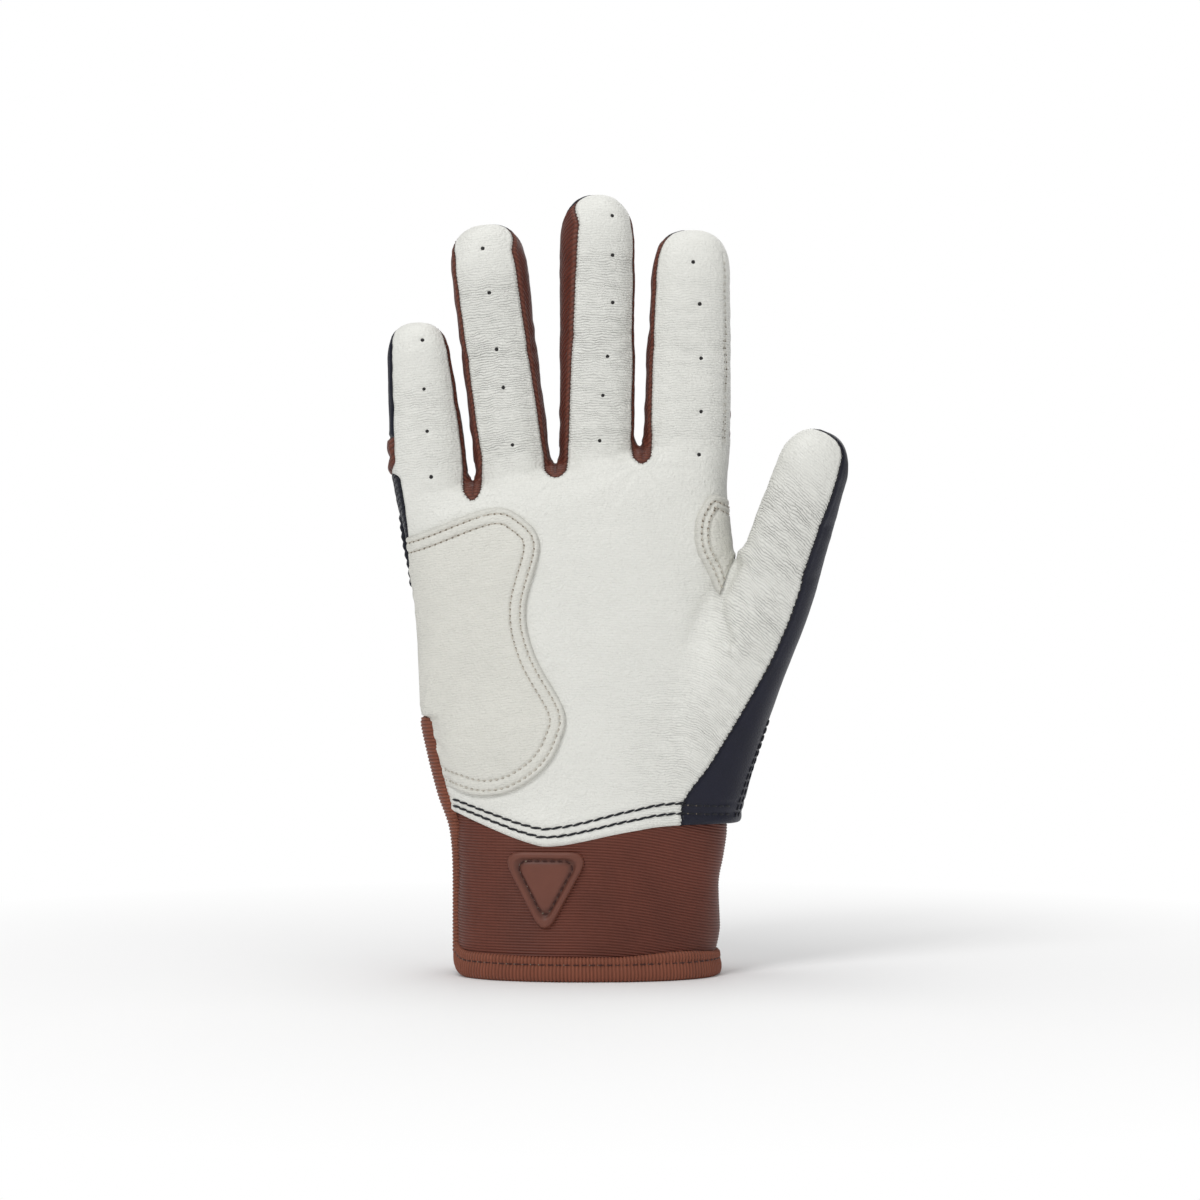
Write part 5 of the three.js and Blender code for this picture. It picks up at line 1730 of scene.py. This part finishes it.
class GLOVE_OT_bindings(bpy.types.Operator):
    """Bind the hem and the edge of the slit with ribbed tape"""

    bl_idname = "glove.bindings"
    bl_label = "Bindings"

    def execute(self, context):
        pitch = sizes().tape_rib / MM
        start = -angle_at_depth(SPLIT_Y - 0.2, HEM_LOOP_Z)
        end = 360 - angle_at_depth(SPLIT_Y + SLIT_GAP, HEM_LOOP_Z)
        fine = np.linspace(start, end, 4000)
        length = run_of(hand_point(fine, HEM_LOOP_Z))
        run = np.linspace(0, length[-1], int(length[-1] / pitch * RIB_STEPS))
        angles = np.interp(run, length, fine)
        offset, height = np.array(HEM_SECTION).T[..., None]
        wave, bulge = 0.8 * noise_at(41, run / 19, 0, 0), 0.12 * noise_at(42, run / 6, 0, 0)
        height = height + wave * smoothstep(height, 2, 6) + hem_rise(run)
        points = hand_point(angles, height, offset + bulge * (offset > 0))[::-1]
        self.bind("hem_tape", points, run[None], pitch, "cuff_hem_binding")

        top = BINDING_LINE[-1, 1]
        rows = int((top - HEM_HEIGHT + 1) / pitch * RIB_STEPS)
        z = np.linspace(HEM_HEIGHT - 1, top, rows)[:, None]
        line = track(BINDING_LINE[:, 1], BINDING_LINE[:, 0])(z)
        narrow = np.sqrt(np.clip(1 - np.clip((z - top + 2.2) / 2.2, 0, 1) ** 2, 0, 1))
        first, last = angle_at_width(line, z), -angle_at_depth(SPLIT_Y - 0.4, z)
        across = np.array([-1.02, -1.0, -0.86, -0.6, -0.2, 0.2, 0.6, 0.86, 1.0, 1.02])
        half = (last - first) / 2 * mix(0.25, 1, narrow)
        swell = np.sqrt(np.clip(1 - np.abs(across) ** 3, 0, 1))
        swell = swell * mix(0.2, 1, narrow) + 0.25 * smoothstep(z, top - 10, top - 2) * narrow
        lift = np.where(np.abs(across) > 1, -0.8, 0.1 * narrow + 0.85 * swell)
        points = hand_point((first + last) / 2 + across * half, z, lift)[:, ::-1]
        self.bind("slit_tape", points, run_of(points[:, 5])[:, None], pitch, "slit_binding")
        return {"FINISHED"}

    @staticmethod
    def bind(name, points, run, pitch, cad_node):
        tape = cloth_grid(name, points, run)
        settle(tape, rib_relief(), pitch=pitch * MM, height=0.36 * MM, cloth=material("binding_tape"))
        dress(tape, "hand", "binding_tape", [cad_node])


def badge_outline(inset):
    """The badge's rounded triangle, drawn in by an inset, as x and z."""
    middle = BADGE_CORNERS.mean(0)
    edge = BADGE_CORNERS[1] - BADGE_CORNERS[0]
    reach = np.abs(np.cross(edge, BADGE_CORNERS[0] - middle)) / np.linalg.norm(edge)
    corners = middle + (BADGE_CORNERS - middle) * (1 - inset / reach)
    round_by = max(6.5 - inset, 1.2)
    t = np.linspace(0, 1, CORNER_STEPS)[:, None]
    points = []
    for before, corner, after in zip(np.roll(corners, 1, axis=0), corners, np.roll(corners, -1, axis=0)):
        a, b = (corner + unit(beside - corner) * round_by for beside in (before, after))
        points.append((1 - t) ** 2 * a + 2 * t * (1 - t) * corner + t**2 * b)
    return np.concatenate(points)


def on_cuff(flat, lift):
    """Points given as x and z, laid on the front of the cuff at a height above it."""
    x, z = flat.T
    return hand_point(angle_at_width(x, z), z, -0.3 + lift)


class GLOVE_OT_badge(bpy.types.Operator):
    """Mould the bare triangular badge, with its rim and the groove that its stitches lie in"""

    bl_idname = "glove.badge"
    bl_label = "Badge"

    def execute(self, context):
        rings = np.stack([on_cuff(badge_outline(inset), lift) for inset, lift in BADGE_PROFILE])[:, ::-1]
        rows, count, _ = rings.shape
        centre = on_cuff(BADGE_CORNERS.mean(0)[None], 1.13)
        last = np.arange(count) + (rows - 1) * count
        middle = np.stack([last, np.roll(last, -1), np.full(count, rows * count)], 1)
        # Distance from the stitch groove, kept as the seam distance, so painted shade darkens the groove
        depth = np.abs(np.repeat([inset for inset, _ in BADGE_PROFILE], count) - 2.3)
        plate = mesh_object(
            "badge_plate", np.concatenate([rings.reshape(-1, 3), centre]),
            [grid_faces(rows, count, around=True), middle], seam=np.append(depth, NO_SEAM),
        )
        dress(plate, "hand", "rubber", ["cuff_badge"])
        loop = badge_outline(2.35)
        places = on_cuff(np.concatenate([loop, loop[:1]]), 0.8)
        row = [(p, (p[0] * 0.2, -1.0, 0)) for p in places]
        stitched("badge_stitches", [row], "hand", "binding_tape", "brown_thread", 2.1, 1.7, 0.5)
        return {"FINISHED"}


def back_angle(x):
    """The angle, behind, at which the hand's surface reaches a given x at the strap's height."""
    return 180 - angle_at_width(x, STRAP_LOOP_Z)


def strap_form(name, first, last, inset, inner, outer, columns, rows, round_end=0.0):
    """A band round the back of the cuff with rounded edges, as a closed grid of section loops."""
    angles = np.linspace(first, last, columns)
    edge = np.array([0, 0.02, 0.07, *np.linspace(0.12, 0.88, rows), 0.93, 0.98, 1.0])[:, None]
    crown = np.sqrt(np.clip(1 - np.abs(2 * edge - 1) ** 18, 0, 1))
    low, high = STRAP_LOW + inset, STRAP_HIGH - inset
    half = (high - low) / 2 - round_end * smoothstep((angles - first) / (last - first), 0.45, 1.0)
    z = (low + high) / 2 + (2 * edge - 1) * half
    front, behind = (
        hand_point(angles, z, inner + (outer - inner) * (0.5 + way * crown)) for way in (0.5, -0.5)
    )
    points = np.concatenate([front, behind[::-1]])
    count = len(points)
    wrap = np.arange(columns - 1)
    last_row = (count - 1) * columns + wrap
    close = np.stack([last_row, last_row + 1, wrap + 1, wrap], 1)
    i = np.arange(len(edge) - 1)
    cap = np.stack([i, i + 1, count - 2 - i, count - 1 - i], 1) * columns
    faces = np.concatenate([grid_faces(count, columns), close, cap, cap[:, ::-1] + columns - 1])
    made = mesh_object(name, points.reshape(-1, 3), faces[:, ::-1])
    keep_values(made.data, "rib_run", np.tile(run_of(points[0]), count) * MM)
    return made


def root_fold(name):
    """The rolled fold of cloth that the strap turns on, as a closed rod with rounded ends."""
    steps, turns = 40, 16
    z = np.linspace(STRAP_LOW, STRAP_HIGH, steps)[:, None]
    radius = ROOT_FOLD_RADIUS * (0.7 + 0.3 * quarter_round(np.minimum(z - STRAP_LOW, STRAP_HIGH - z)))
    around = np.radians(np.arange(turns) * 360 / turns)
    x, y = ROOT_FOLD[0] + radius * np.cos(around), ROOT_FOLD[1] + radius * np.sin(around)
    points = np.stack(np.broadcast_arrays(x, y, z), -1).reshape(-1, 3)
    ends = np.array([(k, k + 1, turns - 2 - k, turns - 1 - k) for k in range(turns // 2 - 1)])
    faces = np.concatenate([grid_faces(steps, turns, True), ends[:, ::-1], ends + (steps - 1) * turns])
    return mesh_object(name, points, faces)


class GLOVE_OT_strap(bpy.types.Operator):
    """Make the wrist strap with its anchor, hook and loop patches and pull tab"""

    bl_idname = "glove.strap"
    bl_label = "Wrist Strap"

    def execute(self, context):
        root = 360 - angle_at_depth(STRAP_ROOT_Y, STRAP_LOOP_Z)
        anchor_end = 360 - angle_at_depth(STRAP_ROOT_Y + 5, STRAP_LOOP_Z)
        reach, tab_start, tab_end = (back_angle(STRAP_REACH + past) for past in (0, 0.3, 7))
        strap = strap_form("strap_band", reach, root, 0, 2.1, 3.5, 240, 20)
        settle(strap, rib_relief(), pitch=0.9 * MM, height=0.08 * MM, cloth=material("cuff_fabric"))
        dress(strap, "strap", "cuff_fabric", ["wrist_strap"])
        anchor = strap_form("strap_root_cloth", anchor_end, root, 0, 0.1, 1.9, 24, 14)
        dress(anchor, "hand", "cuff_fabric", ["strap_anchor"])
        dress(root_fold("strap_root_fold"), "hand", "cuff_fabric")
        last, first = (back_angle(x) for x in PATCH_REACH)
        for name, body, inner, outer, size, cad_node in (
            ("loop_pile", "hand", 0.1, 0.8, 0.5, "loop_patch"),
            ("hook_pile", "strap", 1.25, 1.85, 0.35, "hook_patch"),
        ):
            patch = strap_form(name, first, last, 1.5, inner, outer, 18, 12)
            settle(patch, pile(), density=1.6e6, seed=7, size=size * MM, cloth=material("hook_and_loop"))
            dress(patch, body, "hook_and_loop", [cad_node])
        tab = strap_form("pull_tab_grip", tab_start, tab_end, 0, 2.1, 3.7, 60, 16, round_end=3.2)
        settle(tab, rib_relief(), pitch=1.5 * MM, height=0.3 * MM, cloth=material("rubber"))
        dress(tab, "strap", "rubber", ["strap_pull_tab"])
        left, right, low, high = reach + 1.5, root - 2, STRAP_LOW + 2.2, STRAP_HIGH - 2.2
        rows = [facing_out(hand_point(np.linspace(left, right, 60), z, 3.62)) for z in (low, high)]
        rows += [facing_out(hand_point(angle, np.linspace(low, high, 20), 3.62)) for angle in (left, right)]
        stitched("strap_stitches", rows, "strap", "cuff_fabric", "brown_thread", 2.2, 1.8, 0.5)
        return {"FINISHED"}


def traced(line, count, look, lift):
    """A row of places on a surface under a line of points, each with its normal."""
    seen = [look(float(across), float(z)) for across, z in smooth_line(line, count)]
    return [(place + normal * lift, normal) for place, normal in seen if place is not None]


def inset_line(outline, distance):
    """An overlay's outline moved inwards."""
    curve = smooth_line(outline, 300)
    step = np.gradient(curve, axis=0)
    inward = unit(np.stack([step[:, 1], -step[:, 0]], -1))
    if ((curve.mean(0) - curve) * inward).sum() < 0:
        inward = -inward
    return curve + inward * distance


class GLOVE_OT_stitches(bpy.types.Operator):
    """Sew the rows of stitches on the overlays, the wrist, the gusset, the hem and the back"""

    bl_idname = "glove.stitches"
    bl_label = "Stitches"

    def execute(self, context):
        surface = skin()
        palm, side, behind = (look(surface.tree) for look in (from_palm, from_side, from_back))
        pitch, step = sizes().pad_stitch / MM, sizes().wrist_stitch / MM
        for name, column, outline, rows in (
            ("heel_pad_stitches", "heel", HEEL_PAD, HEEL_ROWS),
            ("crotch_patch_stitches", "patch", CROTCH_PATCH, PATCH_ROWS),
        ):
            look = from_palm(_made[column + "_tree"])
            sewn = [traced(inset_line(outline, row), 260, look, 0.05) for row in rows]
            stitched(name, sewn, "hand", "white_leather", "white_thread", pitch, pitch * 0.68, 0.5, hole=0.4)

        wrist = smooth_line(WRIST_EDGE, 200)
        wrist = wrist[(wrist[:, 0] > -36.5) & (wrist[:, 0] < 25.6)]
        rise = wrist_rise(wrist[:, 0])[:, None] * (0, 1)
        rows = [traced(wrist + rise * share, 200, palm, 0.1) for share in WRIST_ROWS]
        stitched(
            "wrist_stitches", rows, "hand", "white_leather", "black_thread", step, step * 1.2, 0.72,
            tilt=0.13, hole=0.2,
        )

        bottom = np.array([(26.6, 45.6), (30, 45.4), (34, 45.2), (38.6, 45.0)])
        gusset = [traced(bottom + (0, up), 40, palm, 0.08) for up in (0, 2.3)]
        gusset += [traced([(y + 1, 70), (y, 56), (y, 44.6)], 50, side, 0.08) for y in (-9.2, -7.0)]
        stitched("gusset_stitches", gusset, "hand", "navy_leather", "black_thread", 2.2, 1.9, 0.5, hole=0.2)

        back = [
            traced([(x, BACK_EDGE_Z + up) for x in (-38, 0, 36)], 120, behind, 0.08) for up in (1.6, 3.6)
        ]
        thumb = FINGERS[THUMB]
        row = traced(THUMB_BACK_SEAM[1:] + (-1.5, 0), 100, behind, 0.06)
        height = thumb.around(np.array([tuple(place) for place, _ in row]))[0]
        back.append([stitch for stitch, up in zip(row, height) if up < thumb.base_bend[0]])
        back.append(traced(PINKY_BACK_SEAM + (1.5, 0), 40, behind, 0.06))
        stitched("back_stitches", back, "hand", "navy_leather", "black_thread", 2.3, 2.0, 0.55, hole=0.2)

        index = FINGERS[INDEX]
        heights = np.linspace(1, index.length - 9, 60)
        core = index.world([(0, 0, height) for height in heights])
        rows = []
        for turn in INDEX_ROWS:
            row = index.point(np.full(60, turn), heights)
            rows.append([surface.under(place, away) for place, away in zip(row, row - core)])
        for level, keep in (("lower", heights < index.split), ("upper", heights >= index.split)):
            part = [[stitch for stitch, use in zip(row, keep) if use] for row in rows]
            name = f"index_side_stitches_{level}"
            sewn = stitched(name, part, None, "white_leather", "pale_thread", 1.9, 1.3, 0.42, hole=0.26)
            bend(sewn, index, level)

        angles = np.linspace(-92, 262, 300)
        rise = hem_rise(run_of(hand_point(angles, HEM_ROW_Z, HEM_ROW_LIFT)))
        row = facing_out(hand_point(angles, HEM_ROW_Z + rise, HEM_ROW_LIFT))
        stitched("hem_stitches", [row], "hand", "binding_tape", "brown_thread", 2.3, 1.9, 0.5, hole=0.2)
        return {"FINISHED"}


class GLOVE_OT_seams(bpy.types.Operator):
    """Close the seams of the white leather with fine stitches"""

    bl_idname = "glove.seams"
    bl_label = "Seams"

    def execute(self, context):
        surface = skin()
        edges, one, two = panel_borders(surface.faces, surface.codes)
        pairs = np.sort(np.stack([surface.codes[one], surface.codes[two]], 1), axis=1)
        on_finger, upper = surface.means["zone"][one] > 0, surface.means["split"][one] > 0
        for label, pair, cloth, thread in (
            ("fabric_seam", (WHITE, BROWN), "stretch_fabric", "seam_thread"),
            ("gusset_seam", (WHITE, GUSSET), "navy_leather", "black_thread"),
        ):
            chosen = (pairs == pair).all(1)
            self.close(f"hand_{label}", edges[chosen & ~on_finger], "hand", cloth, thread)
            for i, finger in enumerate(FINGERS):
                for level, where in (("lower", ~upper), ("upper", upper)):
                    mine = edges[chosen & on_finger & where & (surface.nearest[one] == i)]
                    if len(mine):
                        sewn = self.close(f"{finger.name}_{label}_{level}", mine, None, cloth, thread)
                        bend(sewn, finger, level)
        return {"FINISHED"}

    @staticmethod
    def close(name, edges, body, cloth, thread):
        surface = skin()
        used, where = np.unique(edges, return_inverse=True)
        out = surface.out[used]
        line = line_object(name, surface.points[used] + out * 0.22, out, where.reshape(-1, 2))
        return sew(line, body, cloth, thread, 1.15, 0.62, 0.34, tilt=math.pi / 2, hole=0.1)


class GLOVE_OT_pinky_braid(bpy.types.Operator):
    """Lay the twisted navy braid, with its knot, along the hand's edge under the little finger"""

    bl_idname = "glove.pinky_braid"
    bl_label = "Edge Braid"

    def execute(self, context):
        x, z = smooth_line(PINKY_BRAID, 150).T
        centre = np.stack([x, 0 * x - 0.6, z], -1)
        front = np.tile((0.0, -1.0, 0.0), (len(x), 1))
        aside = np.cross(unit(np.gradient(centre, axis=0)), front)
        run = run_of(centre)
        turn = np.radians(np.arange(0, 360, 30))
        lobes = 1 + 0.24 * np.cos(2 * (turn - run[:, None] * 2 * math.pi / 5.2))
        radius = 0.78 + 0.6 * bell(run, 1.1, 1.2)
        for to_end in (run, run[-1] - run):
            radius *= np.sqrt(np.clip(1 - np.clip(1 - to_end, 0, 1) ** 2, 0.02, 1))
        spokes = np.cos(turn)[:, None] * aside[:, None] + np.sin(turn)[:, None] * front[:, None]
        points = centre[:, None] + (radius[:, None] * lobes)[..., None] * spokes
        faces = grid_faces(*points.shape[:2], around=True)[:, ::-1]
        dress(mesh_object("pinky_edge_braid", points.reshape(-1, 3), faces), "hand", "navy_knit")
        return {"FINISHED"}


class GLOVE_OT_perforations(bpy.types.Operator):
    """Punch the row of small holes down each finger's palm face"""

    bl_idname = "glove.perforations"
    bl_label = "Perforations"

    def execute(self, context):
        look = from_palm(skin().tree)
        groups = {}
        for x, z in HOLES:
            place, normal = look(x, z)
            at = np.array(place)[None]
            finger = min(FINGERS, key=lambda f: f.distance(at)[0])
            height = finger.local(at)[0, 2]
            level = "hand" if height < ZONE_START else "lower" if height < finger.split else "upper"
            groups.setdefault((finger, level), []).append([(place + normal * SURFACE_LIFT, normal)])
        for (finger, level), holes in groups.items():
            made = row_object(f"{finger.name}_{level}_holes", holes)
            settle(made, perforations(), diameter=sizes().hole, dark=material("punched_hole"))
            if level == "hand":
                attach(made, "hand")
            else:
                bend(made, finger, level)
        return {"FINISHED"}


class GLOVE_OT_stage(bpy.types.Operator):
    """Set up the floor, the lights and the camera"""

    bl_idname = "glove.stage"
    bl_label = "Stage"

    def execute(self, context):
        scene = context.scene
        scene.view_settings.view_transform = "Standard"
        self.floor()
        scene.world = self.world()
        for name, place, size, power in LIGHTS:
            lamp = bpy.data.lights.new(name, "AREA")
            lamp.shape, lamp.size, lamp.energy = "SQUARE", size, power
            made = bpy.data.objects.new(name, lamp)
            made.location = place
            made.rotation_euler = (Vector(LIT_PLACE) - Vector(place)).to_track_quat("-Z", "Y").to_euler()
            scene.collection.objects.link(made)
        camera = bpy.data.cameras.new("camera")
        camera.sensor_width, camera.lens = SENSOR_WIDTH, LENS
        made = bpy.data.objects.new("camera", camera)
        made.location = CAMERA_PLACE
        made.rotation_euler = (math.radians(90), 0, 0)
        scene.collection.objects.link(made)
        scene.camera = made
        return {"FINISHED"}

    @staticmethod
    def floor():
        """A wide pale floor that fades into the white behind it."""
        corners = np.array([(-1, -1, 0), (1, -1, 0), (1, 1, 0), (-1, 1, 0)]) * FLOOR_REACH
        corners -= (0, 0, FLOOR_DROP)
        floor = mesh_object("studio_floor", corners, np.array([[0, 1, 2, 3]]))
        made, tree = new_material("studio_floor")
        matt = wire(tree, "ShaderNodeBsdfPrincipled", {
            "Base Color": (*colours().floor, 1), "Roughness": 0.9, "Specular IOR Level": 0.1,
        })
        place = wire(tree, "ShaderNodeTexCoord", output="Object")
        away = wire(tree, "ShaderNodeVectorMath", {0: place}, "Value", operation="LENGTH")
        share = away.ranged(0.08, 0.3) * wire(tree, "ShaderNodeLightPath", output="Is Camera Ray")
        glow = wire(tree, "ShaderNodeEmission", {"Color": (1, 1, 1, 1), "Strength": 1.0})
        either = wire(tree, "ShaderNodeMixShader", {0: share, 1: matt, 2: glow})
        node(tree, "ShaderNodeOutputMaterial", {"Surface": either})
        floor.data.materials.append(made)

    @staticmethod
    def world():
        """Soft light from all round, in front of a white ground."""
        made = bpy.data.worlds.new("studio")
        made.use_nodes = True
        tree = made.node_tree
        tree.nodes.clear()
        path = node(tree, "ShaderNodeLightPath")
        seen, through = (
            Wire(tree, path.outputs[label]) for label in ("Is Camera Ray", "Is Transmission Ray")
        )
        soft, white = (
            wire(tree, "ShaderNodeBackground", {"Color": (1, 1, 1, 1), "Strength": power})
            for power in (WORLD_LIGHT, 1.0)
        )
        either = wire(tree, "ShaderNodeMixShader", {0: seen.math("MAXIMUM", through), 1: soft, 2: white})
        node(tree, "ShaderNodeOutputWorld", {"Surface": either})
        return made


STEPS = (
    GLOVE_OT_hand_panels, GLOVE_OT_finger_panels, GLOVE_OT_palm_overlays, GLOVE_OT_cuff, GLOVE_OT_bindings,
    GLOVE_OT_badge, GLOVE_OT_strap, GLOVE_OT_pinky_braid, GLOVE_OT_stitches, GLOVE_OT_seams,
    GLOVE_OT_perforations, GLOVE_OT_stage,
)


class GLOVE_PT_panel(bpy.types.Panel):
    """Sizes, colours and the steps that sew the glove"""

    bl_label = "Batting Glove"
    bl_idname = "GLOVE_PT_panel"
    bl_space_type = "VIEW_3D"
    bl_region_type = "UI"
    bl_category = "Glove"

    def draw(self, context):
        for settings in (context.scene.glove_sizes, context.scene.glove_colours):
            box = self.layout.box()
            for name in settings.__annotations__:
                box.prop(settings, name)
        for step in STEPS:
            self.layout.operator(step.bl_idname)


CLASSES = (GloveSizes, GloveColours, *STEPS, GLOVE_PT_panel)


def register():
    for cls in CLASSES:
        bpy.utils.register_class(cls)
    bpy.types.Scene.glove_sizes = bpy.props.PointerProperty(type=GloveSizes)
    bpy.types.Scene.glove_colours = bpy.props.PointerProperty(type=GloveColours)


def unregister():
    del bpy.types.Scene.glove_colours
    del bpy.types.Scene.glove_sizes
    for cls in reversed(CLASSES):
        bpy.utils.unregister_class(cls)


def main():
    register()
    for step in STEPS:
        group, name = step.bl_idname.split(".")
        getattr(getattr(bpy.ops, group), name)()
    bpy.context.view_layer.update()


if __name__ == "__main__":
    main()
